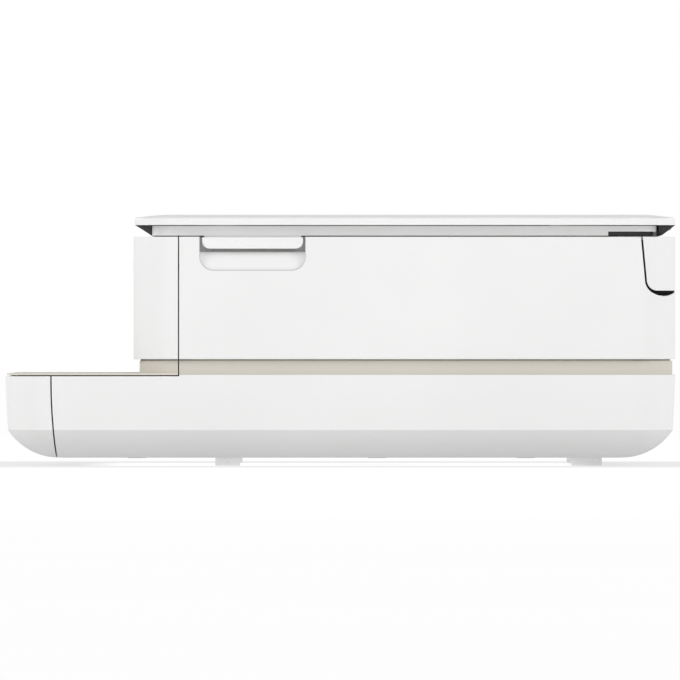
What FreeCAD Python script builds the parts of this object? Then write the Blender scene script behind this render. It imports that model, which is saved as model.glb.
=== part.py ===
"""Desktop all-in-one inkjet printer as an assembly of separate pieces, in millimetres.

X is the width, -Y the front where the paper tray pulls out, +Z up. The origin is
the centre of the footprint at the plane that the rubber feet stand on.
Every piece is written to parts/NAME.step.
"""
import FreeCAD
import Part
import math
import os

V = FreeCAD.Vector

# ---------------------------------------------------------------- driving sizes
WIDTH = 432.0           # overall width of the casing
DEPTH = 361.0           # overall depth, tray front to rear face
HALF_X = WIDTH / 2
REAR_Y = DEPTH / 2
TRAY_Y = -DEPTH / 2     # front face of the paper tray
BODY_Y = -111.4         # front face of the upper body
FASCIA_SPLIT_Y = -87.1  # seam between front fascia and side panels
SEAM = 0.6              # width of the seams between outer covers
WALL = 2.5              # casing wall

FLOOR_Z = 4.6           # underside of the base
EDGE_Z = 19.6           # where the base's side turns in to its curved underside
BASE_TOP_Z = 49.4       # top deck of the base
PLATE_SEAT_Z = 48.6     # deck level under the output plate
PLATE_Z = (49.2, 50.2)  # output plate, bottom and top
BODY_Z = 57.8           # lower edge of the upper body covers
BODY_TOP_Z = 123.7      # upper edge of the upper body covers
BED_Z = (124.3, 129.6)  # visible wall of the scanner bed
LID_Z = (130.0, 135.6)  # lid slab, bottom and crown
TUB_Z = 109.0           # underside of the scanner tub
BAND_GROOVE = 0.9       # height of the shadow groove between accent band and upper body
BED_FRAME = (208.0, -101.8, 170.4)  # half width, front and rear of the scanner bed's frame

CROWN_RISE = 1.6        # the lid's top rises this much from its rim
CROWN_RUN = 14.0        # over this width
LID_RIB_GAP = 0.4       # the lid's ribs end this far above its rim
BODY_R = 20.0           # plan corner radius of the upper body and lid
BASE_R = 22.0           # plan corner radius of the base
BASE_DRAFT = 1.3        # the base's walls lean in this far down to EDGE_Z
UNDER_RUN = 27.0        # how far the curved underside runs in
UNDER_ANGLE = 55.0      # its slope where it leaves the wall, in degrees

HINGE = (176.0, 99.5)        # scanner unit's hinge axis, Y and Z
LID_HINGE = (177.2, 129.6)   # lid's hinge axis, Y and Z
BRACKET_X = ((168.0, 174.0), (186.0, 191.0))  # the two arms of each hinge bracket
HINGE_PIN_R = 2.0
COVER_Z = 94.7          # lower edge of the rear hinge cover
LID_PIN_R = 1.2
RUN_CLEAR = 0.06             # radial clearance of running fits

GLASS = (152.0, -84.0, 138.0)   # half width, front and rear of the scan glass
BAY_X = 118.5                   # half width of the tray bay
PAPER_X = 108.3                 # half of the widest sheet

FEED = (42.0, 54.0, 6.0)        # feed roller Y, Z and radius
EXIT = (-22.0, 54.0, 5.0)       # exit roller Y, Z and radius
GEAR_M = 0.8                    # gear module
FEED_T, IDLER_T, EXIT_T, PINION_T = 36, 47, 30, 12
PLATE_X = 196.0                 # inner face of the engine side plates
GEAR_X = (-204.0, -199.0)
PINION_DIRECTION = 130.0        # where the motor pinion sits round the feed gear

BELT_Z = 84.0                   # height of the pulley axes
PULLEY_X = 182.0
PULLEY_R = 6.0
BELT_T = 1.2
BELT_Y = (51.0, 56.0)
RAIL_Y = (60.0, 61.5)

CARRIAGE_X = 155.0              # carriage centre when parked over the caps
LATCH = (-18.8, 76.0)           # cartridge latches' pivot, Y and Z
BAY_PITCH = 36.0                # cartridge bays, centre to centre

PICK_PIVOT = (88.0, 52.0)
PICK_ROLLER = (58.0, 25.0, 8.0)

GRIP_Y = (-75.8, -18.8)         # finger pocket in each side panel
GRIP_Z = 105.6

GUIDE_PINION = (0.0, -100.0)    # paper guides' pinion, X and Y
GUIDE_M = 1.0
GUIDE_T = 12


# ---------------------------------------------------------------- basic shapes
def box(x0, x1, y0, y1, z0, z1):
    return Part.makeBox(x1 - x0, y1 - y0, z1 - z0, V(x0, y0, z0))


def cyl_x(x0, x1, centre, r):
    return Part.makeCylinder(r, x1 - x0, V(x0, centre[0], centre[1]), V(1, 0, 0))


def cyl_y(y0, y1, x, z, r):
    return Part.makeCylinder(r, y1 - y0, V(x, y0, z), V(0, 1, 0))


def cyl_z(z0, z1, x, y, r):
    return Part.makeCylinder(r, z1 - z0, V(x, y, z0), V(0, 0, 1))


def rounded_wire(x0, x1, y0, y1, r, z):
    """Rectangle with round corners, anticlockwise, in the plane Z = z."""
    edges = []
    corners = [(x1 - r, y0 + r, -90), (x1 - r, y1 - r, 0), (x0 + r, y1 - r, 90), (x0 + r, y0 + r, 180)]
    ends = []
    for cx, cy, start in corners:
        arc = Part.Arc(*[
            V(cx + r * math.cos(math.radians(a)), cy + r * math.sin(math.radians(a)), z)
            for a in (start, start + 45, start + 90)
        ])
        ends.append((arc.StartPoint, arc.EndPoint, arc.toShape()))
    for i, (_, end, arc) in enumerate(ends):
        edges.append(arc)
        edges.append(Part.LineSegment(end, ends[(i + 1) % 4][0]).toShape())
    return Part.Wire(edges)


def slab(x0, x1, y0, y1, r, z0, z1):
    face = Part.Face(rounded_wire(x0, x1, y0, y1, r, z0))
    return face.extrude(V(0, 0, z1 - z0))


def prism_x(points, x0, x1):
    """Outline in the Y-Z plane, extruded along X. A point with four numbers is an arc's middle and end."""
    edges = []
    at = points[0]
    for p in list(points[1:]) + [points[0]]:
        if len(p) == 4:
            edges.append(Part.Arc(V(x0, *at[-2:]), V(x0, *p[:2]), V(x0, *p[2:])).toShape())
        else:
            edges.append(Part.LineSegment(V(x0, *at[-2:]), V(x0, *p)).toShape())
        at = p
    return Part.Face(Part.Wire(edges)).extrude(V(x1 - x0, 0, 0))


def prism_y(points, y0, y1):
    wire = Part.makePolygon([V(x, y0, z) for x, z in points] + [V(points[0][0], y0, points[0][1])])
    return Part.Face(wire).extrude(V(0, y1 - y0, 0))


def mirrored(shape):
    return shape.mirror(V(0, 0, 0), V(1, 0, 0))


def both(shape):
    return [shape, mirrored(shape)]


def fuse(*shapes):
    return shapes[0].multiFuse(list(shapes[1:])).removeSplitter()


def cut(shape, *tools):
    return shape.cut(list(tools))


def fillet_edges(shape, r, wanted):
    """Rounds the edges whose bounding box satisfies wanted."""
    edges = [e for e in shape.Edges if wanted(e.BoundBox)]
    return shape.makeFillet(r, edges)


def save(name, *shapes):
    solids = [s for shape in shapes for s in shape.Solids]
    assert solids and all(s.isValid() for s in solids), name
    Part.makeCompound(solids).exportStep("parts/" + name + ".step")


# ---------------------------------------------------------------- base and feet
def base_form(inset, z_low, z_high):
    """The base's outer form moved in by inset: leaning walls on a curved underside."""
    x, front, rear = HALF_X - inset, TRAY_Y + inset, REAR_Y - inset

    def section(more, r, z):
        return rounded_wire(-x + more, x - more, front + more, rear - more, max(r - inset, 4), z)

    angle = math.radians(UNDER_ANGLE)
    bend = UNDER_RUN / math.sin(angle)
    walls = Part.makeLoft([section(BASE_DRAFT, BASE_R - 1, EDGE_Z), section(0, BASE_R, z_high)], True, True)
    steps = 5
    under = []
    for i in range(steps + 1):
        a = angle * (1 - i / steps)
        run = bend * (math.sin(angle) - math.sin(a))
        drop = bend * (math.cos(a) - math.cos(angle))
        share = drop / (bend * (1 - math.cos(angle)))
        z = EDGE_Z - share * (EDGE_Z - z_low)
        under.append(section(BASE_DRAFT + run, BASE_R - 1 - run * 0.3, z))
    return fuse(walls, Part.makeLoft(under, True, False))


def tray_side(offset):
    """Everything in front of the tray's seam, moved back by offset."""
    y = offset
    return prism_x([(TRAY_Y - 20, 80), (TRAY_Y - 20, -10), (-151.0 + y, -10),
                    (-154.9 + y, 20, -156.0 + y, 38), (-156.4 + y, 80)], -250, 250)


def base_housing():
    outer = base_form(0, FLOOR_Z, BASE_TOP_Z).cut(tray_side(0.7))
    step = box(-250, 250, -200, FASCIA_SPLIT_Y + SEAM / 2, PLATE_SEAT_Z, 60)
    hollow = base_form(WALL, FLOOR_Z + WALL, BASE_TOP_Z - WALL).common(box(-250, 250, -152.3, 200, 0, 60))
    body = cut(outer, step, hollow)
    bay_walls = [box(sx, sx + 2, -153, 124, FLOOR_Z + 1, 47.5) for sx in (BAY_X, -BAY_X - 2)]
    shelf = box(-66, 66, -153.5, -86, 44.4, 46.4)
    shelf_sides = [box(sx, sx + 2, -153.5, -86, 46.4, 48) for sx in (64, -66)]
    body = fuse(body, *bay_walls, shelf, *shelf_sides)
    mouth = box(-BAY_X, BAY_X, -170, -150, FLOOR_Z + WALL, 44.4)
    extender_slot = box(-64, 64, -170, -88, 46.4, 60)
    engine_hole = box(-115, 115, -30, 165, 46, 60)
    gear_slot = box(-207, -197.8, -37, 60, 46, 60)
    return cut(body, mouth, extender_slot, engine_hole, gear_slot)


def rubber_feet():
    """Round feet at the front, flat rectangular ones at the rear."""
    front = cyl_z(0, FLOOR_Z, 150, -60.9, 6.75)
    front = fillet_edges(front, 0.6, lambda b: b.ZMax < 0.01)
    rear = slab(122, 150, 125.3, 141.5, 2.0, 0, FLOOR_Z)
    rear = fillet_edges(rear, 0.6, lambda b: b.ZMax < 0.01)
    return both(front) + both(rear)


def output_plate():
    """Thin plate over the base's front deck, where printed sheets land."""
    plate = slab(-HALF_X + 0.7, HALF_X - 0.7, TRAY_Y + 0.9, FASCIA_SPLIT_Y + 30, BASE_R - 1, *PLATE_Z)
    plate = plate.common(box(-250, 250, -200, FASCIA_SPLIT_Y - SEAM / 2, 0, 60))
    notch = cyl_z(40, 60, 0, TRAY_Y - 6, 34)
    pads = [cyl_z(PLATE_SEAT_Z, PLATE_Z[0], sx, y, 4) for sx in (-160, 160) for y in (-140, -100)]
    return fuse(plate.cut(notch), *pads)


# ---------------------------------------------------------------- upper casing
def body_ring(inset, z0, z1, wall=WALL, r=BODY_R):
    outer = slab(-HALF_X + inset, HALF_X - inset, BODY_Y + inset, REAR_Y - inset, r - inset, z0, z1)
    i = inset + wall
    inner = slab(-HALF_X + i, HALF_X - i, BODY_Y + i, REAR_Y - i, r - i, z0 - 1, z1 + 1)
    return outer.cut(inner)


def hinge_gap(inset=0.0, reach=12.0):
    """Room that the body's covers leave for the rear hinge cover to turn in: a seam, then a crescent."""
    rear = REAR_Y + reach
    start_z, low_z, end_z = (COVER_Z + inset - drop for drop in (1.5, 2.9, 0.8))
    return prism_x([(161.7, 140), (161.7, BODY_TOP_Z), (163.9, 100.6), (165.2, 96.2, 168.6, start_z),
                    (173.2, low_z, REAR_Y - 0.1, end_z), (rear, end_z), (rear, 140)], -250, 250)


def hinge_cover_region():
    """The rear hinge cover's side outline, one seam inside hinge_gap."""
    return prism_x([(162.7, BODY_TOP_Z), (164.9, 100.6), (166.2, 96.8, 170.2, COVER_Z),
                    (REAR_Y + 10, COVER_Z), (REAR_Y + 10, BODY_TOP_Z)], -250, 250)


def grip_pocket():
    """Finger pocket in the right side: round lower corners, scooped floor."""
    y0, y1 = GRIP_Y
    r = 7.5
    face = Part.Face(Part.Wire([
        Part.LineSegment(V(204, y0, 130), V(204, y0, GRIP_Z + r)).toShape(),
        Part.Arc(V(204, y0, GRIP_Z + r), V(204, y0 + r * 0.293, GRIP_Z + r * 0.293), V(204, y0 + r, GRIP_Z)).toShape(),
        Part.LineSegment(V(204, y0 + r, GRIP_Z), V(204, y1 - r, GRIP_Z)).toShape(),
        Part.Arc(V(204, y1 - r, GRIP_Z), V(204, y1 - r * 0.293, GRIP_Z + r * 0.293), V(204, y1, GRIP_Z + r)).toShape(),
        Part.LineSegment(V(204, y1, GRIP_Z + r), V(204, y1, 130)).toShape(),
        Part.LineSegment(V(204, y1, 130), V(204, y0, 130)).toShape(),
    ]))
    outline = face.extrude(V(20, 0, 0))
    scoop = Part.Face(Part.Wire([
        Part.LineSegment(V(225, y0, GRIP_Z - 2), V(HALF_X - 0.5, y0, GRIP_Z - 2)).toShape(),
        Part.LineSegment(V(HALF_X - 0.5, y0, GRIP_Z - 2), V(HALF_X - 0.5, y0, GRIP_Z)).toShape(),
        Part.Arc(V(HALF_X - 0.5, y0, GRIP_Z), V(HALF_X - 2.0, y0, 111.0), V(HALF_X - 4.6, y0, 115.6)).toShape(),
        Part.LineSegment(V(HALF_X - 4.6, y0, 115.6), V(204.6, y0, 115.6)).toShape(),
        Part.LineSegment(V(204.6, y0, 115.6), V(204.6, y0, 130)).toShape(),
        Part.LineSegment(V(204.6, y0, 130), V(225, y0, 130)).toShape(),
        Part.LineSegment(V(225, y0, 130), V(225, y0, GRIP_Z - 2)).toShape(),
    ])).extrude(V(0, y1 - y0, 0))
    return outline.common(scoop)


def right_side_panel():
    walls = body_ring(0, BODY_Z, BODY_TOP_Z)
    keep = box(0, 250, FASCIA_SPLIT_Y + SEAM / 2, REAR_Y - BODY_R - 5, 0, 200)
    corner = box(188 + SEAM / 2, 250, REAR_Y - BODY_R - 5, 250, 0, 200)
    panel = fuse(walls.common(keep), walls.common(corner))
    ledge = box(206, HALF_X - 1, FASCIA_SPLIT_Y + SEAM / 2, 162.9, 121.7, BODY_TOP_Z)
    pocket_block = box(202.6, HALF_X - 1, GRIP_Y[0] - 3, GRIP_Y[1] + 3, GRIP_Z - 4, BODY_TOP_Z)
    foot = box(208, HALF_X - 1, -80, 158, BODY_Z, BODY_Z + 2)
    panel = fuse(panel, ledge, pocket_block, foot)
    panel = cut(panel, grip_pocket(), hinge_gap())
    return fillet_edges(panel, 0.8, lambda b: b.ZMin > BODY_TOP_Z - 0.01 and b.XMax > 215.9 and b.YLength > 80)


def front_fascia():
    walls = body_ring(0, BODY_Z, BODY_TOP_Z).common(box(-250, 250, -200, FASCIA_SPLIT_Y - SEAM / 2, 0, 200))
    ledge = box(-HALF_X + 8, HALF_X - 8, BODY_Y + 1, -99.6, 121.7, BODY_TOP_Z)
    side_ledges = [box(206, HALF_X - 1, -96, FASCIA_SPLIT_Y - SEAM / 2, 121.7, BODY_TOP_Z)]
    side_ledges.append(mirrored(side_ledges[0]))
    inner = slab(-HALF_X + 1, HALF_X - 1, BODY_Y + 1, REAR_Y, BODY_R - 1, 0, 200)
    ledges = [s.common(inner) for s in [ledge] + side_ledges]
    fascia = fuse(walls, *ledges)
    slot = prism_y([(-128, 50), (-128, 83), (-123, 88), (123, 88), (128, 83), (128, 50)], -130, -95)
    light = box(-70, 70, -130, -95, 94.0, 96.4)
    panel = box(96, 186, BODY_Y - 5, BODY_Y + 1.0, 98, 118)
    return cut(fascia, slot, light, panel)


def accent_bands():
    """Recessed band between base and upper body: a side and rear piece, and the fascia's piece with the output hood."""
    z0, z1 = BASE_TOP_Z, BODY_Z
    step = z1 - BAND_GROOVE
    outer = slab(-HALF_X + 2.6, HALF_X - 2.6, BODY_Y + 3.2, REAR_Y - 1.6, BODY_R - 2.6, z0, step)
    neck = slab(-HALF_X + 3.8, HALF_X - 3.8, BODY_Y + 4.4, REAR_Y - 2.8, BODY_R - 3.8, step, z1)
    inner = slab(-HALF_X + 5, HALF_X - 5, BODY_Y + 6, REAR_Y - 4, BODY_R - 5, z0 - 1, z1 + 1)
    ring = outer.fuse(neck).cut(inner)
    rear = ring.common(box(-250, 250, FASCIA_SPLIT_Y + SEAM / 2, 250, 0, 100))
    front = ring.common(box(-250, 250, -200, FASCIA_SPLIT_Y - SEAM / 2, PLATE_Z[1], 100))
    front = front.cut(box(-128, 128, -130, -95, 0, 100))
    cheeks = [box(sx, sx + 2.5, BODY_Y + 3.2, -36, PLATE_Z[1], 90) for sx in (128, -130.5)]
    roof = box(-130.5, 130.5, BODY_Y + 3.2, -36, 88, 90)
    blades = [box(-100 + 25 * i, -98.8 + 25 * i, -100, -36, 84, 88) for i in range(9)]
    return [rear, fuse(front, *cheeks, roof, *blades)]


def rear_cover():
    """Rear wall between the side panels, with the sockets' openings, the button holes and vent slots."""
    wall = body_ring(0, BODY_Z, BODY_TOP_Z).common(box(-188 + SEAM / 2, 188 - SEAM / 2, 160, 250, 0, 200))
    foot = box(-130, 125, REAR_Y - 8, REAR_Y - 1, BODY_Z, BODY_Z + 2)
    holes = [box(131.6, 152.4, 170, 190, 61.6, 74.4), box(-153.4, -138.6, 170, 190, 61.6, 74.4)]
    holes += [cyl_y(170, 190, x, 70, 4.9) for x in (-100, -80)]
    holes += [box(-60 + 8 * i, -57 + 8 * i, 170, 190, 66, 84) for i in range(16)]
    return cut(fuse(wall, foot), hinge_gap(), *holes)


# ---------------------------------------------------------------- scanner unit
def bed_frame():
    """Top frame of the scanner: low wall all round, deck with the glass opening and the lid's hinge ears."""
    x, y0, y1 = BED_FRAME
    wall = slab(-x, x, y0, y1, 11, *BED_Z).cut(slab(-x + 2, x - 2, y0 + 2, y1 - 2, 9, 100, 127.2))
    gx, gy0, gy1 = GLASS
    frame = wall.cut(slab(-gx + 3, gx - 3, gy0 + 3, gy1 - 3, 3, 120, 140))
    notches = both(box(190, 215, 144.2, 172, 120, 126.5))
    hy, hz = LID_HINGE
    ears = []
    for ex in (130, -130):
        ear = fuse(box(ex - 4, ex + 4, y1 - 2, hy, hz - 2.4, hz - 1), cyl_x(ex - 4, ex + 4, LID_HINGE, 2.4))
        ears.append(ear.cut(cyl_x(ex - 6, ex + 6, LID_HINGE, LID_PIN_R + RUN_CLEAR)))
    return fuse(cut(frame, *notches), *ears)


def dark_trims():
    """Dark undercut bar under the lid's front edge, and the dark liners behind the rear notches."""
    bar = prism_x([(-110.3, 129.9), (-101.8, 124.4), (-101.8, 129.9)], -200, 200)
    x, y0, y1 = BED_FRAME
    liner = slab(-x + 2, x - 2, y0 + 2, y1 - 2, 9, BED_Z[0], 127.2)
    liner = liner.cut(slab(-x + 4.4, x - 4.4, y0 + 4.4, y1 - 4.4, 6.6, 120, 130)).common(box(190, 210, 143, 175, 0, 200))
    return [bar] + both(liner)


def grip_tabs():
    """Lifting tabs in the side pockets, hung from the scanner bed."""
    y0, y1 = GRIP_Y[0] + 1.5, GRIP_Y[1] - 1.3
    z0, z1 = 117.3, 123.3
    r = 4.0
    lip = Part.Face(Part.Wire([
        Part.LineSegment(V(212.6, y0, z1), V(212.6, y0, z0 + r)).toShape(),
        Part.Arc(V(212.6, y0, z0 + r), V(212.6, y0 + r * 0.293, z0 + r * 0.293), V(212.6, y0 + r, z0)).toShape(),
        Part.LineSegment(V(212.6, y0 + r, z0), V(212.6, y1 - r, z0)).toShape(),
        Part.Arc(V(212.6, y1 - r, z0), V(212.6, y1 - r * 0.293, z0 + r * 0.293), V(212.6, y1, z0 + r)).toShape(),
        Part.LineSegment(V(212.6, y1, z0 + r), V(212.6, y1, z1)).toShape(),
        Part.LineSegment(V(212.6, y1, z1), V(212.6, y0, z1)).toShape(),
    ])).extrude(V(2.8, 0, 0))
    flange = box(205.6, 214, y0 + 1, y1 - 1, 121.6, z1)
    riser = box(205.6, 207.8, y0 + 1, y1 - 1, 121.6, BED_Z[0])
    return both(fuse(lip, flange, riser))


def scanner_tub():
    x, y0, y1 = 200.0, -98.0, 150.0
    shell = slab(-x, x, y0, y1, 8, TUB_Z, 127.2).cut(slab(-x + 2, x - 2, y0 + 2, y1 - 2, 6, TUB_Z + 2, 140))
    gx, gy0, gy1 = GLASS
    ribs = [box(sx - 0.8, sx + 0.8, y0 + 1, gy0 - 2, TUB_Z + 1, 124) for sx in range(-160, 161, 40)]
    ribs += [box(sx - 0.8, sx + 0.8, gy1 + 4, y1 - 1, TUB_Z + 1, 124) for sx in range(-160, 161, 40)]
    rests = [box(-gx, gx, gy0 - 2, gy0, 122.4, 124.4), box(-gx, gx, gy1, gy1 + 2, 122.4, 124.4)]
    webs = [box(sx - 0.8, sx + 0.8, y0 + 1, gy0, 122.4, 124.0) for sx in (-140, 140)]
    webs += [box(sx - 0.8, sx + 0.8, gy1, y1 - 1, 122.4, 124.0) for sx in (-140, 140)]
    glass_seat = box(-gx, gx, gy0, gy1, 124.4, 127.2)
    return cut(fuse(shell, *ribs, *rests, *webs), glass_seat)


def scan_glass():
    gx, gy0, gy1 = GLASS
    return box(-gx, gx, gy0, gy1, 124.4, 127.2)


def scan_drive():
    """Guide rod and toothed rack that the scan bar runs along."""
    rod = cyl_x(-198, 198, (28, 114.4), 3)
    rack_bar = box(-198, 198, 52, 55, TUB_Z + 2, 115)
    teeth = [box(-190 + 4 * i, -188 + 4 * i, 55, 56.4, TUB_Z + 2, 115) for i in range(95)]
    return [rod, fuse(rack_bar, *teeth)]


def scan_bar():
    """Contact image sensor bar on its carrier, with the drive motor on board. Parked at the left."""
    x = -178.0
    sensor = slab(x - 9, x + 9, GLASS[1] + 2, GLASS[2] - 2, 3, 118.6, 124.0)
    lens = box(x - 1.5, x + 1.5, GLASS[1] + 8, GLASS[2] - 8, 123.2, 125)
    carrier = box(x - 9, x + 9, 16, 48, 111.6, 118.6)
    bore = cyl_x(x - 20, x + 20, (28, 114.4), 3 + RUN_CLEAR)
    slot = box(x - 20, x + 20, 27.2, 28.8, 110, 112)
    motor = cyl_x(x - 8, x + 8, (68, 115.0), 3.5)
    motor_seat = box(x - 9, x + 9, 61.5, 74.5, 116, 118.6).cut(motor)
    return [fuse(sensor.cut(lens), carrier.cut(bore)).cut(slot), motor_seat, motor]


def rear_hinge_cover():
    """Strip that closes the rear top edge, turns with the scanner and carries the knuckles."""
    strip = body_ring(0, 90, BODY_TOP_Z).common(hinge_cover_region())
    strip = strip.common(box(-250, 250, 160, 250, 0, 200))
    top = slab(-HALF_X + 1, HALF_X - 1, BODY_Y, REAR_Y - 1, BODY_R - 1, 121.7, BODY_TOP_Z)
    top = fuse(top.common(hinge_cover_region()), top.common(box(-205, 205, 151, 180, 0, 200)))
    ribs = [box(sx - 1.5, sx + 1.5, 152, 168, BODY_TOP_Z - 1, 127.2) for sx in range(-180, 181, 60)]
    knuckles = []
    for s in (1, -1):
        ends = sorted((s * 174.3, s * 185.7))
        web = box(ends[0], ends[1], HINGE[0] - 1.5, REAR_Y - 1, HINGE[1], 122)
        knuckles.append(fuse(web, cyl_x(ends[0], ends[1], HINGE, 4.3)))
    body = fuse(strip, top, *ribs, *knuckles)
    slots = []
    for x0, x1 in BRACKET_X:
        slots.append(box(x0 - 0.5, x1 + 0.5, 170, 190, 90, HINGE[1]))
        slots.append(cyl_x(x0 - 0.5, x1 + 0.5, HINGE, 4.9))
    slots.append(cyl_x(165, 195, HINGE, HINGE_PIN_R + RUN_CLEAR))
    return cut(body, *[piece for slot in slots for piece in both(slot)])


def hinge_brackets():
    """Brackets on the base that hold the scanner's hinge pins."""
    shapes = []
    for s in (1, -1):
        for x0, x1 in BRACKET_X:
            a, b = sorted((s * x0, s * x1))
            neck = prism_x([(173.5, 96.0), (173.0, 102.5), (166.0, 101.0), (160.5, 95.0),
                            (160.5, BASE_TOP_Z), (168.5, BASE_TOP_Z), (168.5, 90.0), (169.2, 93.5)], a, b)
            light_stop = hinge_gap(0.4, 0).common(box(a, b, 168.5, REAR_Y - 0.4, 90, 97))
            plate = fuse(neck, light_stop, cyl_x(a, b, HINGE, 4.3), box(a, b, 154, 172, BASE_TOP_Z, BASE_TOP_Z + 3))
            shapes.append(plate.cut(cyl_x(a - 1, b + 1, HINGE, HINGE_PIN_R)))
        ends = sorted((s * 167.0, s * 192.0))
        shapes.append(cyl_x(ends[0], ends[1], HINGE, HINGE_PIN_R))
    return shapes


# ---------------------------------------------------------------- lid
def lid_shell():
    """Slab with a gently crowned top, hollow towards the liner side, and pockets for the hinge ears."""
    x, y0, y1 = HALF_X, BODY_Y + 0.5, REAR_Y
    z0, z1 = LID_Z
    edge_z = z1 - CROWN_RISE
    side = slab(-x, x, y0, y1, BODY_R, z0, edge_z)
    inner = rounded_wire(-x + CROWN_RUN, x - CROWN_RUN, y0 + CROWN_RUN, y1 - CROWN_RUN, 10, z1)
    crown = Part.makeLoft([rounded_wire(-x, x, y0, y1, BODY_R, edge_z), inner], True, True)
    lid = fuse(side, crown)
    lid = fillet_edges(lid, 50.0, lambda b: b.ZMin > z1 - 0.01)
    lid = fillet_edges(lid, 1.5, lambda b: abs(b.ZMin - edge_z) < 0.01 and b.ZLength < 0.01)
    hollow = slab(-x + 12, x - 12, y0 + 12, y1 - 22, 6, z0 - 1, z0 + 2.2)
    ribs = [box(-x + 10, x - 10, y - 0.8, y + 0.8, z0 + LID_RIB_GAP, z0 + 2.4) for y in range(-80, 150, 38)]
    lid = fuse(lid.cut(hollow), *ribs)
    pockets = [cyl_x(ex - 4.6, ex + 4.6, LID_HINGE, 2.9) for ex in (130, -130)]
    pins = [cyl_x(ex - 13, ex + 13, LID_HINGE, LID_PIN_R) for ex in (130, -130)]
    return cut(lid, *pockets, *pins)


def document_pad():
    """Foam pad with a white face that presses the page on the glass."""
    gx, gy0, gy1 = GLASS
    return slab(-gx + 4.5, gx - 4.5, gy0 + 4.5, gy1 - 4.5, 2.5, 127.5, LID_Z[0] + LID_RIB_GAP)


def lid_rear_bar():
    """Dark bar under the lid's rear edge with the hinge pins."""
    top = LID_Z[0]
    bar = prism_x([(180.5, top), (173.4, 124.6), (171.7, 126.5), (171.2, top)], -200, 200)
    pins = [cyl_x(ex - 13, ex + 13, LID_HINGE, LID_PIN_R) for ex in (130, -130)]
    gaps = [box(ex - 4.6, ex + 4.6, 160, 190, 120, 140) for ex in (130, -130)]
    return [cut(bar, *gaps, *pins)] + pins


# ---------------------------------------------------------------- paper tray
def tray_front():
    """Full-width tray front that carries on the base's form, with a finger scoop below."""
    outer = base_form(0, FLOOR_Z, PLATE_SEAT_Z).common(tray_side(0))
    hollow = base_form(3.0, FLOOR_Z + 3, PLATE_SEAT_Z - 3).common(box(-250, 250, -190, -158.5, 0, 60))
    front = outer.cut(hollow)
    drop = box(-62.9, 62.9, -200, -140, 42.2, 60)
    floor = box(-64, 64, -178, -156, 40.2, 42.2)
    scoop = slab(-48, 48, -171, -158.8, 5, 0, 15)
    roof = slab(-50, 50, -173, -157, 6, 8, 17)
    solid = fuse(front.cut(drop), floor.common(outer), roof.common(outer))
    return solid.cut(scoop)


def tray_pan():
    """Paper pan behind the tray front, on two runners."""
    x = 116.0
    y0, y1 = -158.0, 121.0
    floor = box(-x, x, y0, y1, 9.4, 11.4)
    sides = [box(sx, sx + 2, y0, y1, 9.4, 38) for sx in (x - 2, -x)]
    rear = box(-x, x, y1 - 2, y1, 9.4, 14)
    runners = [box(sx - 3, sx + 3, y0, y1, 7.5, 9.4) for sx in (-90, 90)]
    rails = [box(-104, 104, y, y + 1.2, 11.4, 14.2) for y in (-140, -70, -30, 10, 50, 90)]
    stud = cyl_z(11.4, 13.6, *GUIDE_PINION, 2.0)
    stop_pad = box(-9, 9, 48, 68, 11.4, 12.2)
    pan = fuse(floor, *sides, rear, *runners, *rails, stud, stop_pad)
    return pan.cut(tray_side(0))


def tooth_flank(radius, base_r, half, pressure):
    """Half angle of an involute tooth at a radius."""
    if radius <= base_r:
        radius = base_r
    a = math.acos(base_r / radius)
    return half + (math.tan(pressure) - pressure) - (math.tan(a) - a)


def gear_points(teeth, module, phase, slack=0.14, tip=0.8, root=1.1):
    """Outline of a spur gear with a tooth centred at phase degrees."""
    pitch_r = teeth * module / 2
    pressure = math.radians(20)
    base_r = pitch_r * math.cos(pressure)
    radii = [pitch_r - root * module, max(base_r, pitch_r - 0.5 * module), pitch_r, pitch_r + tip * module]
    half = math.pi / (2 * teeth) - slack / (2 * pitch_r)
    points = []
    for i in range(teeth):
        middle = math.radians(phase) + 2 * math.pi * i / teeth
        rising = [(r, middle - tooth_flank(r, base_r, half, pressure)) for r in radii]
        falling = [(r, middle + tooth_flank(r, base_r, half, pressure)) for r in reversed(radii)]
        points += [(r * math.cos(a), r * math.sin(a)) for r, a in rising + falling]
    return points


def gear_x(teeth, phase, centre, x0, x1, bore):
    """Gear turning about X."""
    points = [(centre[0] + a, centre[1] + b) for a, b in gear_points(teeth, GEAR_M, phase)]
    return prism_x(points, x0, x1).cut(cyl_x(x0 - 1, x1 + 1, centre, bore))


def paper_guide(side):
    """Sliding paper guide with its rack. side is 1 for the right guide, -1 for the left."""
    x, y = GUIDE_PINION
    pitch_y = -GUIDE_M * GUIDE_T / 2
    fence = slab(PAPER_X, PAPER_X + 2.4, y - 38, y + 42, 1.0, 14.6, 36)
    foot = box(PAPER_X - 12, PAPER_X + 2.4, y - 38, y + 42, 14.6, 16)
    stem = box(PAPER_X - 12, PAPER_X + 2.4, y + pitch_y - 4.2, y + pitch_y - 1.2, 11.7, 15)
    rack_bar = box(-12, PAPER_X, y + pitch_y - 4.2, y + pitch_y - 1.2, 11.7, 13.3)
    pitch = math.pi * GUIDE_M
    teeth = []
    for i in range(-3, 23):
        at = x + pitch * (i + 0.5)
        flank = math.tan(math.radians(20))
        low, high = pitch / 4 - 0.08 + 1.3 * flank, pitch / 4 - 0.08 - 0.8 * flank
        wire = Part.makePolygon([V(at + dx, y + pitch_y + dy, 11.7) for dx, dy in
                                 ((-low, -1.3), (low, -1.3), (high, 0.8), (-high, 0.8), (-low, -1.3))])
        teeth.append(Part.Face(wire).extrude(V(0, 0, 1.6)))
    guide = fuse(fence, foot, stem, rack_bar, *teeth)
    if side < 0:
        guide.rotate(V(x, y, 0), V(0, 0, 1), 180)
    return guide


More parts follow.
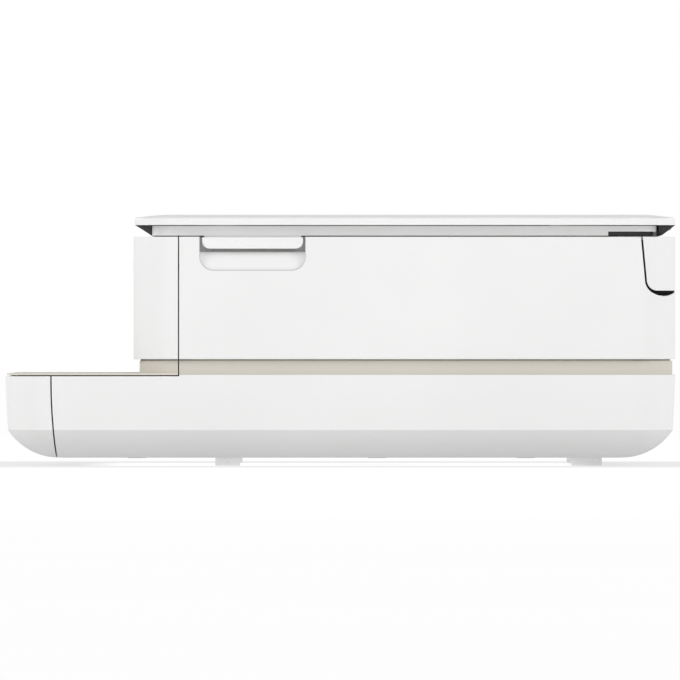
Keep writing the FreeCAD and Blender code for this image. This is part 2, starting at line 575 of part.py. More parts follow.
def guide_pinion():
    x, y = GUIDE_PINION
    points = [(x + a, y + b) for a, b in gear_points(GUIDE_T, GUIDE_M, 90)]
    wire = Part.makePolygon([V(a, b, 11.7) for a, b in points] + [V(points[0][0], points[0][1], 11.7)])
    gear = Part.Face(wire).extrude(V(0, 0, 1.6))
    return gear.cut(cyl_z(10, 20, x, y, 2.0 + RUN_CLEAR))


def tray_extender():
    """Sliding shelf that lengthens the output plate, with an upturned lip."""
    shelf = slab(-62.4, 62.4, -178.5, -96, 4, 46.7, 48.3)
    ribs = [box(-62.4, -60.4, -170, -100, 48.3, 48.9), box(60.4, 62.4, -170, -100, 48.3, 48.9)]
    lip = slab(-62.4, 62.4, TRAY_Y + 0.3, -177.2, 1.2, 42.6, 48.9)
    window = slab(-22, 22, -160, -120, 6, 40, 60)
    return fuse(shelf.cut(window), *ribs, lip)


# ---------------------------------------------------------------- print engine
def idler_centre():
    return (FEED[0] - GEAR_M * (FEED_T + IDLER_T) / 2, FEED[1])


def pinion_centre():
    reach = GEAR_M * (FEED_T + PINION_T) / 2
    a = math.radians(PINION_DIRECTION)
    return (FEED[0] + reach * math.cos(a), FEED[1] + reach * math.sin(a))


def engine_frame():
    """Steel side plates with the rollers' bores, the idler stud, and the pick arm's shaft on its posts."""
    shapes = []
    for s in (1, -1):
        a, b = sorted((s * PLATE_X, s * (PLATE_X + 1.5)))
        plate = box(a, b, -36, 82, BASE_TOP_Z, 104)
        foot = sorted((s * (PLATE_X - 12), s * PLATE_X))
        plate = fuse(plate, box(foot[0], foot[1], -36, 82, BASE_TOP_Z, BASE_TOP_Z + 1.5))
        window = box(a - 1, b + 1, -28, 20, 74, 98)
        holes = [cyl_x(a - 1, b + 1, FEED[:2], 3 + RUN_CLEAR), cyl_x(a - 1, b + 1, EXIT[:2], 2.5 + RUN_CLEAR)]
        shapes.append(cut(plate, window, *holes))
    stud = cyl_x(GEAR_X[0] - 1, -PLATE_X - 1.5, idler_centre(), 2.0)
    shaft_hole = cyl_x(-PLATE_X - 3, -PLATE_X + 1, pinion_centre(), 2.2)
    shapes[1] = fuse(shapes[1], stud).cut(shaft_hole)
    shapes.append(cyl_x(-122, 122, PICK_PIVOT, 2.5))
    for x in (-120, 116):
        post = box(x, x + 4, PICK_PIVOT[0] - 6, PICK_PIVOT[0] + 6, BASE_TOP_Z, PICK_PIVOT[1] + 5)
        shapes.append(post.cut(shapes[2]))
    return shapes


def carriage_rail():
    """Folded steel rail behind the carriage, with the idler pulley's stud and the motor's hole."""
    web = box(-PLATE_X, PLATE_X, *RAIL_Y, 66, 104)
    flange = box(-PLATE_X, PLATE_X, RAIL_Y[1] - 0.1, 76, 66, 67.5)
    stud = cyl_y(BELT_Y[0] - 2, RAIL_Y[0], -PULLEY_X, BELT_Z, 1.5)
    hole = cyl_y(50, 70, PULLEY_X, BELT_Z, 2.4)
    slots = [box(x - 16, x + 16, 50, 70, 70, 75) for x in range(-130, 131, 52)]
    return cut(fuse(web, flange, stud), hole, *slots)


def drive_belt():
    def loop(r):
        bar = box(-PULLEY_X, PULLEY_X, *BELT_Y, BELT_Z - r, BELT_Z + r)
        return fuse(bar, *[cyl_y(*BELT_Y, x, BELT_Z, r) for x in (-PULLEY_X, PULLEY_X)])

    return loop(PULLEY_R + 0.06 + BELT_T).cut(loop(PULLEY_R + 0.06))


def pulley(x):
    """Belt pulley with flanges. The motor's has its shaft, the idler's has a bore."""
    y0, y1 = BELT_Y
    wheel = fuse(cyl_y(y0 - 0.2, y1 + 0.2, x, BELT_Z, PULLEY_R),
                 cyl_y(y0 - 1.2, y0 - 0.2, x, BELT_Z, PULLEY_R + 1.8),
                 cyl_y(y1 + 0.2, y1 + 1.2, x, BELT_Z, PULLEY_R + 1.8))
    spokes = [cyl_y(y0 - 2, y0 + 1.5, x + 3.6 * math.cos(a), BELT_Z + 3.6 * math.sin(a), 1.2)
              for a in (math.radians(30 + 72 * i) for i in range(5))]
    wheel = cut(wheel, *spokes)
    if x > 0:
        return fuse(wheel, cyl_y(y0 - 1.2, 62.8, x, BELT_Z, 1.5))
    return wheel.cut(cyl_y(0, 100, x, BELT_Z, 1.5 + RUN_CLEAR))


def drive_motors():
    """Carriage motor behind the rail and feed motor inside the left plate."""
    carriage = fuse(cyl_y(63.0, 88, PULLEY_X - 1, BELT_Z, 12.5), cyl_y(88, 90, PULLEY_X - 1, BELT_Z, 5))
    carriage = carriage.cut(box(150, 210, 60, 100, BELT_Z - 20, BELT_Z - 9.5))
    y, z = pinion_centre()
    feed = fuse(cyl_x(-PLATE_X, -172, (y, z), 11), cyl_x(-172, -170.5, (y, z), 4.5))
    return [carriage, feed]


def platen():
    """Ribbed print platen with wide ends that stand on the deck."""
    bed = box(-114, 114, -12, 34, 50, 58.6)
    ends = [box(sx, sx + 6, -12, 34, BASE_TOP_Z, 58.6) for sx in (114, -120)]
    ribs = [box(-105 + 15 * i, -103.6 + 15 * i, -11, 33, 58.6, 60) for i in range(15)]
    trough = [box(-104, 104, 3, 13, 56, 60)]
    return cut(fuse(bed, *ends, *ribs), *trough)


def feed_roller():
    y, z, r = FEED
    shaft = cyl_x(GEAR_X[0], PLATE_X + 5, (y, z), 3)
    bore = cyl_x(-250, 250, (y, z), 3)
    sleeves = [cyl_x(x0, x1, (y, z), r).cut(bore) for x0, x1 in ((-112, -38), (-34, 34), (38, 112))]
    gear = gear_x(FEED_T, 0, (y, z), *GEAR_X, 3)
    return [shaft] + sleeves + [gear]


def exit_roller():
    y, z, r = EXIT
    shaft = cyl_x(GEAR_X[0], PLATE_X + 4, (y, z), 2.5)
    bore = cyl_x(-250, 250, (y, z), 2.5)
    wheels = [cyl_x(x - 7, x + 7, (y, z), r).cut(bore) for x in (-90, -45, 0, 45, 90)]
    return [shaft] + wheels + [gear_x(EXIT_T, 180.0 / EXIT_T, (y, z), *GEAR_X, 2.5)]


def idler_gear():
    gear = gear_x(IDLER_T, 180.0 / IDLER_T, idler_centre(), *GEAR_X, 2.0 + RUN_CLEAR)
    y, z = idler_centre()
    holes = [cyl_x(-250, -150, (y + 11 * math.cos(a), z + 11 * math.sin(a)), 3.2)
             for a in (math.radians(60 * i) for i in range(6))]
    return cut(gear, *holes)


def motor_pinion():
    centre = pinion_centre()
    gear = gear_x(PINION_T, PINION_DIRECTION - 180 + 180.0 / PINION_T, centre, *GEAR_X, 1.5)
    return [gear, cyl_x(GEAR_X[0], -PLATE_X - 0.2, centre, 1.5)]


def star_wheel_centre():
    return (EXIT[0], EXIT[1] + EXIT[2] + 4.3)


def pinch_centre():
    return (FEED[0], FEED[1] + FEED[2] + 4.3)


def star_wheels():
    """Toothed discs that hold the wet sheet down, on one thin axle."""
    y, z = star_wheel_centre()
    axle = cyl_x(-112, 112, (y, z), 0.8)
    bore = cyl_x(-250, 250, (y, z), 0.8)
    outline = []
    for i in range(24):
        a = math.radians(15 * i)
        outline.append((y + 4.0 * math.cos(a), z + 4.0 * math.sin(a)))
        outline.append((y + 3.2 * math.cos(a + 0.13), z + 3.2 * math.sin(a + 0.13)))
    discs = [prism_x(outline, x - 0.5, x + 0.5).cut(bore) for x in range(-90, 91, 30)]
    return [axle] + discs


def pinch_rollers():
    y, z = pinch_centre()
    axle = cyl_x(-112, 112, (y, z), 1.5)
    bore = cyl_x(-250, 250, (y, z), 1.5)
    return [axle] + [cyl_x(x - 9, x + 9, (y, z), 4.0).cut(bore) for x in (-84, -42, 0, 42, 84)]


def roller_holders():
    """Bars that carry the star wheels' axle and the pinch rollers' axle."""
    y, z = star_wheel_centre()
    star = box(-118, 118, y - 7, y - 4.6, z - 1, z + 5.5)
    star_top = box(-118, 118, y - 7, y + 4, z + 4.6, z + 5.5)
    star_ends = [box(sx, sx + 6, y - 7, y + 4, BASE_TOP_Z, z + 5.5) for sx in (112.5, -118.5)]
    star_bar = fuse(star, star_top, *star_ends)
    star_bar = cut(star_bar, cyl_x(-150, 150, (y, z), 0.8 + RUN_CLEAR), cyl_x(-150, 150, EXIT[:2], 2.8))
    y, z = pinch_centre()
    back = box(-118, 118, y + 4.6, y + 7, z - 3, z + 2.5)
    arms = [box(x - 1.5, x + 1.5, y - 2.5, y + 5, z - 2.5, z + 2.5) for x in (-105, -63, -21, 21, 63, 105)]
    ends = [box(sx, sx + 4, y + 4.6, y + 9, BASE_TOP_Z, z + 2.5) for sx in (116, -120)]
    pinch_bar = fuse(back, *arms, *ends).cut(cyl_x(-150, 150, (y, z), 1.5 + RUN_CLEAR))
    return [star_bar, pinch_bar]


def paper_turn_guide():
    """Rear guide that turns the sheet from the tray up to the feed roller, and the inner guide."""
    y, z = 126.0, 37.0

    def channel(r, t, top_front):
        """Half-round sheet of thickness t with a flat top running forward."""
        ring = cyl_x(-110, 110, (y, z), r + t).cut(cyl_x(-110, 110, (y, z), r))
        half = ring.common(box(-110, 110, y, y + 50, 0, 100))
        return fuse(half, box(-110, 110, top_front, y + 0.1, z + r, z + r + t))

    outer = channel(24.2, 1.6, 55.5)
    inner = channel(19.5, 1.6, 96.0)
    ends = [box(sx, sx + 4, 100, 157, BASE_TOP_Z, z + 24.2) for sx in (-119.5, 115.5)]
    tabs = [box(sx, sx + 10, 104, 150, z + 24.2, z + 25.8) for sx in (-119.5, 109.5)]
    ribs = [box(sx - 1, sx + 1, 104, 120, z + 25, z + 29) for sx in range(-90, 91, 30)]
    stays = [box(sx, sx + 2.2, 100, 126, z + 19.5, z + 21.1) for sx in (-112, 109.8)]
    stays += [box(sx, sx + 2.2, 100, 126, z + 19.5, z + 24.2) for sx in (-112, 109.8)]
    return [fuse(outer, inner, *ends, *tabs, *ribs, *stays)]


def pick_arm():
    """Arm on the pick shaft that lets its roller ride on the paper stack."""
    py, pz = PICK_PIVOT
    ry, rz, _ = PICK_ROLLER
    shapes = []
    for x0, x1 in ((-17, -13), (13, 17)):
        web = prism_x([(py + 3.5, pz - 3.5), (py - 2.5, pz + 4.5), (ry - 4.0, rz + 3.5), (ry + 3.5, rz - 4.0)], x0, x1)
        shapes.append(fuse(web, cyl_x(x0, x1, (py, pz), 5), cyl_x(x0, x1, (ry, rz), 5)))
    hub = cyl_x(-17, 17, (py, pz), 4.2)
    bridge = prism_x([(py - 4, pz - 8), (py - 8, pz - 4), (ry + 10, rz + 16), (ry + 14, rz + 12)], -15, 15)
    arm = fuse(*shapes, hub, bridge)
    return cut(arm, cyl_x(-30, 30, (py, pz), 2.5 + RUN_CLEAR), cyl_x(-30, 30, (ry, rz), 1.8 + RUN_CLEAR))


def pick_roller():
    y, z, r = PICK_ROLLER
    bore = cyl_x(-30, 30, (y, z), 5)
    tyre = cyl_x(-11, 11, (y, z), r).cut(bore)
    groove = [cyl_x(x, x + 0.8, (y, z), r + 1).cut(cyl_x(x, x + 0.8, (y, z), r - 0.6)) for x in range(-9, 10, 3)]
    hub = fuse(cyl_x(-12, 12, (y, z), 5), cyl_x(-17.5, 17.5, (y, z), 1.8))
    return [cut(tyre, *groove), hub]


def service_station():
    """Open trough under the parked carriage, with rails for the sled."""
    trough = box(121, 184, -18.5, 38, BASE_TOP_Z, 56).cut(box(123, 182, -16.5, 36, 51.5, 60))
    rails = [box(122, 183, y, y + 3, 51.4, 54.6) for y in (-10, 26)]
    return fuse(trough, *rails)


def cap_sled():
    """Sled with a rubber cap for each print head and a wiper blade beside each cap."""
    sled = box(128.5, 181.5, -14, 34, 54.9, 57.0)
    posts, rubber = [], []
    for x in bay_centres():
        posts.append(box(x - 8, x + 8, 0, 26, 57.0, 58.2))
        rubber.append(slab(x - 7, x + 7, 1, 25, 2, 58.2, 61.2).cut(slab(x - 5.5, x + 5.5, 2.5, 23.5, 1, 59.2, 70)))
        posts.append(box(x - 8.4, x - 8, 4, 22, 57.0, 58.2))
        rubber.append(box(x - 8.4, x - 7.6, 4, 22, 58.2, 60.9))
    return [fuse(sled, *posts)] + rubber


# ---------------------------------------------------------------- carriage
def bay_centres():
    return (CARRIAGE_X - BAY_PITCH / 2, CARRIAGE_X + BAY_PITCH / 2)


def carriage_shell():
    """Moving carriage with two cartridge bays, a hook over the rail, a belt clamp and an encoder reader."""
    x0, x1 = CARRIAGE_X - 38, CARRIAGE_X + 38
    outer = fuse(box(x0, x1, -16, 48, 72.5, 97), box(x0 + 3, x1 - 3, -10, 30, 62.6, 72.5))
    tools = []
    for x in bay_centres():
        tools.append(box(x - 16.2, x + 16.2, -13.8, 45.8, 74, 100))
        tools.append(box(x - 11.2, x + 11.2, -7, 27, 60, 75))
    shell = cut(outer, *tools)
    sill = [box(x - 16.2, x + 16.2, -17, -13, 90, 100) for x in bay_centres()]
    shell = cut(shell, *sill)
    bridge = box(x0 + 6, x1 - 6, 44, 64.2, 104.5, 106.8)
    riser = box(x0 + 6, x1 - 6, 46, 48, 95, 106)
    lip = box(x0 + 6, x1 - 6, 62.2, 64.2, 99, 105)
    reader = [box(CARRIAGE_X - 6, CARRIAGE_X + 6, y, y + 1.1, 91, 105) for y in (56.1, 58.3)]
    clamp = [box(CARRIAGE_X - 8, CARRIAGE_X + 8, 47, 57, z, z + 2) for z in (74.3, 78.4)]
    lugs = []
    for x in bay_centres():
        for lx in (x - 17.4, x + 14.2):
            lugs.append(box(lx, lx + 3.2, LATCH[0] - 2.5, -15.5, LATCH[1] - 2.5, LATCH[1] + 2.5))
        lugs.append(cyl_x(x - 15, x + 15, LATCH, 1.2))
    return fuse(shell, bridge, riser, lip, *reader, *clamp, *lugs)


def cartridge(x):
    """Ink cartridge: tank with a raised grip edge and a print head nose through the carriage floor."""
    tank = box(x - 15.9, x + 15.9, -13.4, 45.4, 74.2, 95.6)
    tank = fillet_edges(tank, 1.2, lambda b: b.ZLength > 20 or b.ZMin > 95)
    nose = box(x - 10.8, x + 10.8, -6.6, 26.6, 62.0, 75)
    nose = fillet_edges(nose, 1.0, lambda b: b.ZLength > 9)
    cap = slab(x - 13.4, x + 13.4, -6, 43, 3, 95, 96.6)
    grip = box(x - 9, x + 9, -11.4, -9, 94, 97.4)
    head = box(x - 4, x + 4, 2, 23, 61.7, 62.6)
    return fuse(tank, nose, cap, grip, head)


def latch(x):
    """Lever in front of a cartridge with a hook over its top edge."""
    y, z = LATCH
    barrel = cyl_x(x - 13.9, x + 13.9, LATCH, 2.4)
    lever = box(x - 13.9, x + 13.9, y - 1.2, y + 0.9, z, 98)
    hook = box(x - 13.9, x + 13.9, y - 1.2, -12.2, 98, 99.8)
    thumb = box(x - 8, x + 8, y - 4.6, y - 1, 94, 96)
    ribs = [box(x - 9 + 6 * i, x - 8 + 6 * i, y - 2.0, y - 1, 80, 92) for i in range(4)]
    return fuse(barrel, lever, hook, thumb, *ribs).cut(cyl_x(x - 20, x + 20, LATCH, 1.2 + RUN_CLEAR))


# ---------------------------------------------------------------- electronics
def main_board():
    """Circuit board on posts: processor, memory, power parts, connectors."""
    z = 57.6
    board = fuse(box(-186, -122, 86, 157, z - 1.6, z), box(-160, -125, 157, 176, z - 1.6, z))
    posts = [cyl_z(BASE_TOP_Z, z - 1.6, x, y, 3) for x in (-182, -126) for y in (90, 153)]
    chips = [box(-172, -156, 112, 128, z, z + 1.8), box(-150, -140, 114, 126, z, z + 1.2),
             box(-134, -126, 104, 122, z, z + 1.4), box(-176, -168, 136, 142, z, z + 2.2)]
    cans = [cyl_z(z, z + 9, x, y, 3.2) for x, y in ((-180, 100), (-172, 100), (-128, 130))]
    sockets = [box(-166 + 12 * i, -158 + 12 * i, 88, 92, z, z + 5) for i in range(3)]
    return [fuse(board, *posts)] + chips + cans + sockets


def usb_port():
    """Square USB socket at the rear."""
    shell = box(-152, -140, 164.5, REAR_Y - 0.3, 62.2, 73.2)
    mouth = box(-150.8, -141.2, 168, REAR_Y + 1, 63.4, 72.0)
    tongue = box(-148.8, -143.2, 167, REAR_Y - 2, 66.2, 69.2)
    legs = box(-151, -141, 165, 175, 57.6, 62.2)
    return fuse(shell.cut(mouth), tongue, legs)


def power_supply():
    """Closed power module with a lid seam and ribs."""
    block = box(120.5, 163, 98, 160, BASE_TOP_Z, 86)
    block = fillet_edges(block, 2.0, lambda b: b.ZLength > 30 or b.ZMin > 85.9)
    seam = box(119, 165, 96, 162, 70, 70.8).cut(box(121.1, 162.4, 98.6, 159.4, 69, 72))
    ribs = [box(126 + 8 * i, 128 + 8 * i, 104, 154, 85.5, 87) for i in range(5)]
    return fuse(block.cut(seam), *ribs)


def power_inlet():
    """Two-pin mains inlet with its rounded socket."""
    x, z = 142.0, 68.0
    body = box(x - 10, x + 10, 160, REAR_Y - 0.2, z - 6, z + 6)
    socket = fuse(cyl_y(166, 190, x - 4.3, z, 4.2), cyl_y(166, 190, x + 4.3, z, 4.2),
                  box(x - 4.3, x + 4.3, 166, 190, z - 4.2, z + 4.2))
    pins = [cyl_y(165, REAR_Y - 4, x + s * 4.3, z, 1.2) for s in (-1, 1)]
    stand = box(x - 8, x + 8, 161, 176, BASE_TOP_Z, z - 5)
    return fuse(body.cut(socket), *pins, stand)


def push_button(x):
    """Round rear button: cap, collar behind the wall and stem."""
    cap = cyl_y(REAR_Y - 3.5, REAR_Y + 0.4, x, 70, 4.6)
    cap = fillet_edges(cap, 0.5, lambda b: b.YMin > REAR_Y + 0.39)
    return fuse(cap, cyl_y(REAR_Y - 4.6, REAR_Y - 3.5, x, 70, 6.0), cyl_y(REAR_Y - 8.0, REAR_Y - 4.6, x, 70, 1.5))


def status_light_bar():
    return box(-69.8, 69.8, BODY_Y - 0.1, BODY_Y + 3, 94.1, 96.3)


def touch_panel():
    return box(96.2, 185.8, BODY_Y - 0.1, BODY_Y + 1.0, 98.2, 117.8)


def case_screws():
    """Pan-head screws that hold the engine plates, boards and rail."""
    def screw(x, y, z):
        head = Part.makeSphere(3.2, V(x, y, z - 1.6)).common(cyl_z(z, z + 3, x, y, 3.2))
        slots = [box(x - 2, x + 2, y - 0.4, y + 0.4, z + 0.8, z + 3), box(x - 0.4, x + 0.4, y - 2, y + 2, z + 0.8, z + 3)]
        return head.cut(slots)

    on_feet = [screw(s * (PLATE_X - 6), y, BASE_TOP_Z + 1.5) for s in (-1, 1) for y in (-26, 24, 72)]
    on_brackets = [screw(s * x, 157.0, BASE_TOP_Z + 3) for s in (-1, 1) for x in (171, 188.5)]
    on_board = [screw(x, y, 57.6) for x in (-182, -126) for y in (90, 153)]
    return on_feet + on_brackets + on_board


# ---------------------------------------------------------------- write
def main():
    os.makedirs("parts", exist_ok=True)
    save("base_housing", base_housing())
    save("rubber_feet", *rubber_feet())
    save("output_plate", output_plate())
    save("right_side_panel", right_side_panel())
    save("left_side_panel", mirrored(right_side_panel()))
    save("front_fascia", front_fascia())
    save("accent_bands", *accent_bands())
    save("rear_cover", rear_cover())
    save("bed_frame", bed_frame())
    save("dark_trims", *dark_trims())
    save("grip_tabs", *grip_tabs())
    save("scanner_tub", scanner_tub())
    save("scan_glass", scan_glass())
    save("scan_drive", *scan_drive())
    save("scan_bar", *scan_bar())
    save("rear_hinge_cover", rear_hinge_cover())
    save("hinge_brackets", *hinge_brackets())
    save("lid_shell", lid_shell())
    save("document_pad", document_pad())
    save("lid_rear_bar", *lid_rear_bar())
    save("tray_front", tray_front())
    save("tray_pan", tray_pan())
    save("right_paper_guide", paper_guide(1))
    save("left_paper_guide", paper_guide(-1))
    save("guide_pinion", guide_pinion())
    save("tray_extender", tray_extender())
    save("engine_frame", *engine_frame())
    save("carriage_rail", carriage_rail())
    save("encoder_strip", box(-PLATE_X, PLATE_X, 57.6, 58.0, 92, 98))
    save("drive_belt", drive_belt())
    save("motor_pulley", pulley(PULLEY_X))
    save("idler_pulley", pulley(-PULLEY_X))
    save("drive_motors", *drive_motors())
    save("platen", platen())
    save("feed_roller", *feed_roller())
    save("exit_roller", *exit_roller())
    save("idler_gear", idler_gear())
    save("motor_pinion", *motor_pinion())
    save("star_wheels", *star_wheels())
    save("pinch_rollers", *pinch_rollers())
    save("roller_holders", *roller_holders())
    save("paper_turn_guide", *paper_turn_guide())
    save("pick_arm", pick_arm())
    save("pick_roller", *pick_roller())
    save("service_station", service_station())
    save("cap_sled", *cap_sled())
    save("carriage_shell", carriage_shell())
    colour_x, black_x = bay_centres()
    save("colour_cartridge", cartridge(colour_x))
    save("black_cartridge", cartridge(black_x))
    save("colour_latch", latch(colour_x))
    save("black_latch", latch(black_x))
    save("main_board", *main_board())
    save("usb_port", usb_port())
    save("power_supply", power_supply())
    save("power_inlet", power_inlet())
    save("power_button", push_button(-80))
    save("wifi_button", push_button(-100))
    save("status_light_bar", status_light_bar())
    save("touch_panel", touch_panel())
    save("case_screws", *case_screws())


main()
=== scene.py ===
"""Looks for the desktop inkjet printer: materials, small detail pieces, floor, light and camera.

Everything is in metres in the CAD model's frame: X is the width, -Y the front, +Z up.
Places come from the CAD nodes' boxes or are given in millimetres, and MM turns millimetres into metres.
"""

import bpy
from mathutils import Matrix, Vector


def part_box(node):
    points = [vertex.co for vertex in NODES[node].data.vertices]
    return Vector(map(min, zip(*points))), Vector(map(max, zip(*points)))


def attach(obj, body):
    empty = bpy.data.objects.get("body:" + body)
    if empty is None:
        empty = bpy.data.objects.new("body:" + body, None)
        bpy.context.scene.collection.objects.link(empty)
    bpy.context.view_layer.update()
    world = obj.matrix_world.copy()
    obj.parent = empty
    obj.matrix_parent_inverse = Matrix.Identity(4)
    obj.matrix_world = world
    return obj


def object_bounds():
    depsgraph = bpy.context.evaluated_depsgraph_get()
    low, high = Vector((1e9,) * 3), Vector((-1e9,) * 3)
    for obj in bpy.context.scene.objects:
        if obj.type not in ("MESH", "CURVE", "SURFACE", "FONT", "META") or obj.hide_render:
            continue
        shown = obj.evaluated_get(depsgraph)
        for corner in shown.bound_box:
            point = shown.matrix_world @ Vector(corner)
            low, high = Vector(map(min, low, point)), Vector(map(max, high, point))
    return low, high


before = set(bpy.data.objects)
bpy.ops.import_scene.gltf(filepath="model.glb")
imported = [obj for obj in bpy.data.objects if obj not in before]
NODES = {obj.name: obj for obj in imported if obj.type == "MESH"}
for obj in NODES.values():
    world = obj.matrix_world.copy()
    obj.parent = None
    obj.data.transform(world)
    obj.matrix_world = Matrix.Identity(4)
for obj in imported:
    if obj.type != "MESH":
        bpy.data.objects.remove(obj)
cad_box = [list(corner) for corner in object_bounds()]

import math
import random

import bmesh
import bpy
from mathutils import Matrix, Vector

MM = 0.001
HIGH = Vector(cad_box[1])

# colours, in linear light
WHITE = (0.745, 0.745, 0.742)
BEIGE = (0.555, 0.525, 0.462)
INNER = (0.16, 0.16, 0.165)
ACETAL = (0.72, 0.71, 0.66)
BLACK = (0.03, 0.03, 0.032)
TYRE = (0.035, 0.035, 0.038)
STEEL = (0.56, 0.57, 0.58)

# paper shafts, in metres: y and z of the axis, radius of the bare shaft, and the x that ends their gears
FEED_AXLE, FEED_SHAFT_R = (0.042, 0.054), 0.003
EXIT_AXLE, EXIT_SHAFT_R = (-0.022, 0.054), 0.0025
SHAFT_GEARS_END = -0.195

# places in millimetres
UNDERSIDE_SCREWS = [(x, y) for x in (-168, 168) for y in (-110, 20, 100)] + [(-60, 150), (60, 150)]
TUB_SCREWS = [(x, v) for x in (-180, 0, 180) for v in (-95, 95)]    # v counts from the tub's middle forwards
REAR_SCREWS_X, REAR_SCREWS_Z = (-124, 78, 118), 88.5
TRAY_FLOOR_Z = 11.4
BED_DECK_Z = 129.6          # frame round the scan glass
GLASS_LAP = 3               # that frame covers the glass's edge by this much
CARTRIDGE_TOP_Z = 96.6
BOARD_TOP_Z = 57.6
# chips and sockets on the main board, each as low x, high x, low y, high y
BOARD_CHIPS = [(-172, -156, 112, 128), (-150, -140, 114, 126), (-134, -126, 104, 122), (-176, -168, 136, 142)]
BOARD_SOCKETS = [(-188, -166, 94, 106), (-134, -122, 124, 136), (-170, -130, 84, 96)]
LEAD_PITCH = 1.2


# ---------------------------------------------------------------- node helpers
class Shader:
    """Builds one node material. Sockets are set by name, and link() joins nodes."""

    def __init__(self, name, base, roughness, metallic=0.0, coat=0.0, coat_roughness=0.2, specular=0.5):
        self.material = bpy.data.materials.new(name)
        self.material.use_nodes = True
        self.tree = self.material.node_tree
        self.surface = self.tree.nodes["Principled BSDF"]
        self.surface.inputs["Base Color"].default_value = (*base, 1)
        self.surface.inputs["Roughness"].default_value = roughness
        self.surface.inputs["Metallic"].default_value = metallic
        self.surface.inputs["Coat Weight"].default_value = coat
        self.surface.inputs["Coat Roughness"].default_value = coat_roughness
        self.surface.inputs["Specular IOR Level"].default_value = specular
        self.place = self.add("ShaderNodeTexCoord").outputs["Object"]

    def add(self, kind, **values):
        node = self.tree.nodes.new(kind)
        for key, value in values.items():
            setattr(node, key, value)
        return node

    def link(self, output, node, socket):
        self.tree.links.new(output, node.inputs[socket])

    def noise(self, size, detail=2.0, rough=0.5, stretch=(1, 1, 1)):
        """Noise whose features are about size metres across, stretched along the given axes."""
        mapping = self.add("ShaderNodeMapping")
        mapping.inputs["Scale"].default_value = [1 / s for s in stretch]
        self.link(self.place, mapping, "Vector")
        texture = self.add("ShaderNodeTexNoise")
        texture.inputs["Scale"].default_value = 1 / size
        texture.inputs["Detail"].default_value = detail
        texture.inputs["Roughness"].default_value = rough
        self.link(mapping.outputs["Vector"], texture, "Vector")
        return texture.outputs["Fac"]

    def cells(self, size):
        """Distance to the nearest of cell centres that are about size metres apart."""
        texture = self.add("ShaderNodeTexVoronoi")
        texture.inputs["Scale"].default_value = 1 / size
        self.link(self.place, texture, "Vector")
        return texture.outputs["Distance"]

    def coordinate(self, axis):
        split = self.add("ShaderNodeSeparateXYZ")
        self.link(self.place, split, "Vector")
        return split.outputs[axis]

    def math(self, operation, first, second=None):
        node = self.add("ShaderNodeMath", operation=operation)
        for index, value in enumerate((first, second)):
            if value is None:
                continue
            if isinstance(value, (int, float)):
                node.inputs[index].default_value = value
            else:
                self.tree.links.new(value, node.inputs[index])
        return node.outputs[0]

    def spread(self, value, low, high, new_low, new_high):
        """Value between low and high turned into one between new_low and new_high, and held at those ends."""
        node = self.add("ShaderNodeMapRange")
        for index, number in enumerate((low, high, new_low, new_high), start=1):
            node.inputs[index].default_value = number
        self.link(value, node, 0)
        return node.outputs[0]

    def ramp(self, value, stops):
        """Colour for a value, from (value, colour) stops."""
        node = self.add("ShaderNodeValToRGB")
        elements = node.color_ramp.elements
        while len(elements) < len(stops):
            elements.new(0.5)
        for element, (at, colour) in zip(elements, stops):
            element.position = at
            element.color = (*colour, 1)
        self.link(value, node, "Fac")
        return node.outputs["Color"]

    def mix(self, factor, first, second):
        """Mix of two colours or colour outputs: the first where the factor is 0, the second where it is 1."""
        node = self.add("ShaderNodeMix", data_type="RGBA")
        self.tree.links.new(factor, node.inputs[0])
        for index, value in ((6, first), (7, second)):
            if isinstance(value, tuple):
                node.inputs[index].default_value = (*value, 1)
            else:
                self.tree.links.new(value, node.inputs[index])
        return node.outputs[2]

    def colour(self, output):
        self.link(output, self.surface, "Base Color")

    def roughness(self, output):
        self.link(output, self.surface, "Roughness")

    def bump(self, heights, soft_edge=0.0):
        """Chains (height output, depth in metres) pairs into one normal.

        Edges look rounded by soft_edge metres.
        """
        normal = None
        if soft_edge:
            bevel = self.add("ShaderNodeBevel", samples=6)
            bevel.inputs["Radius"].default_value = soft_edge
            normal = bevel.outputs["Normal"]
        for height, depth in heights:
            node = self.add("ShaderNodeBump")
            node.inputs["Strength"].default_value = 1.0
            node.inputs["Distance"].default_value = depth
            self.link(height, node, "Height")
            if normal is not None:
                self.link(normal, node, "Normal")
            normal = node.outputs["Normal"]
        self.link(normal, self.surface, "Normal")


def edge_wear(shader, radius):
    """Mask that is bright on exposed edges, from the angle between bevelled and true normals."""
    bevel = shader.add("ShaderNodeBevel", samples=4)
    bevel.inputs["Radius"].default_value = radius
    geometry = shader.add("ShaderNodeNewGeometry")
    dot = shader.add("ShaderNodeVectorMath", operation="DOT_PRODUCT")
    shader.link(bevel.outputs["Normal"], dot, 0)
    shader.link(geometry.outputs["Normal"], dot, 1)
    return shader.spread(dot.outputs["Value"], 0.98, 0.85, 0.0, 1.0)


def tint(colour, factor):
    """Colour made lighter or darker by a factor."""
    return tuple(min(1.0, c * factor) for c in colour)


# ---------------------------------------------------------------- materials
PLASTIC_GRAIN = 0.00035     # grain of moulded plastic, in metres
RUBBER_NAP = 0.0005         # nap of ground rubber, in metres


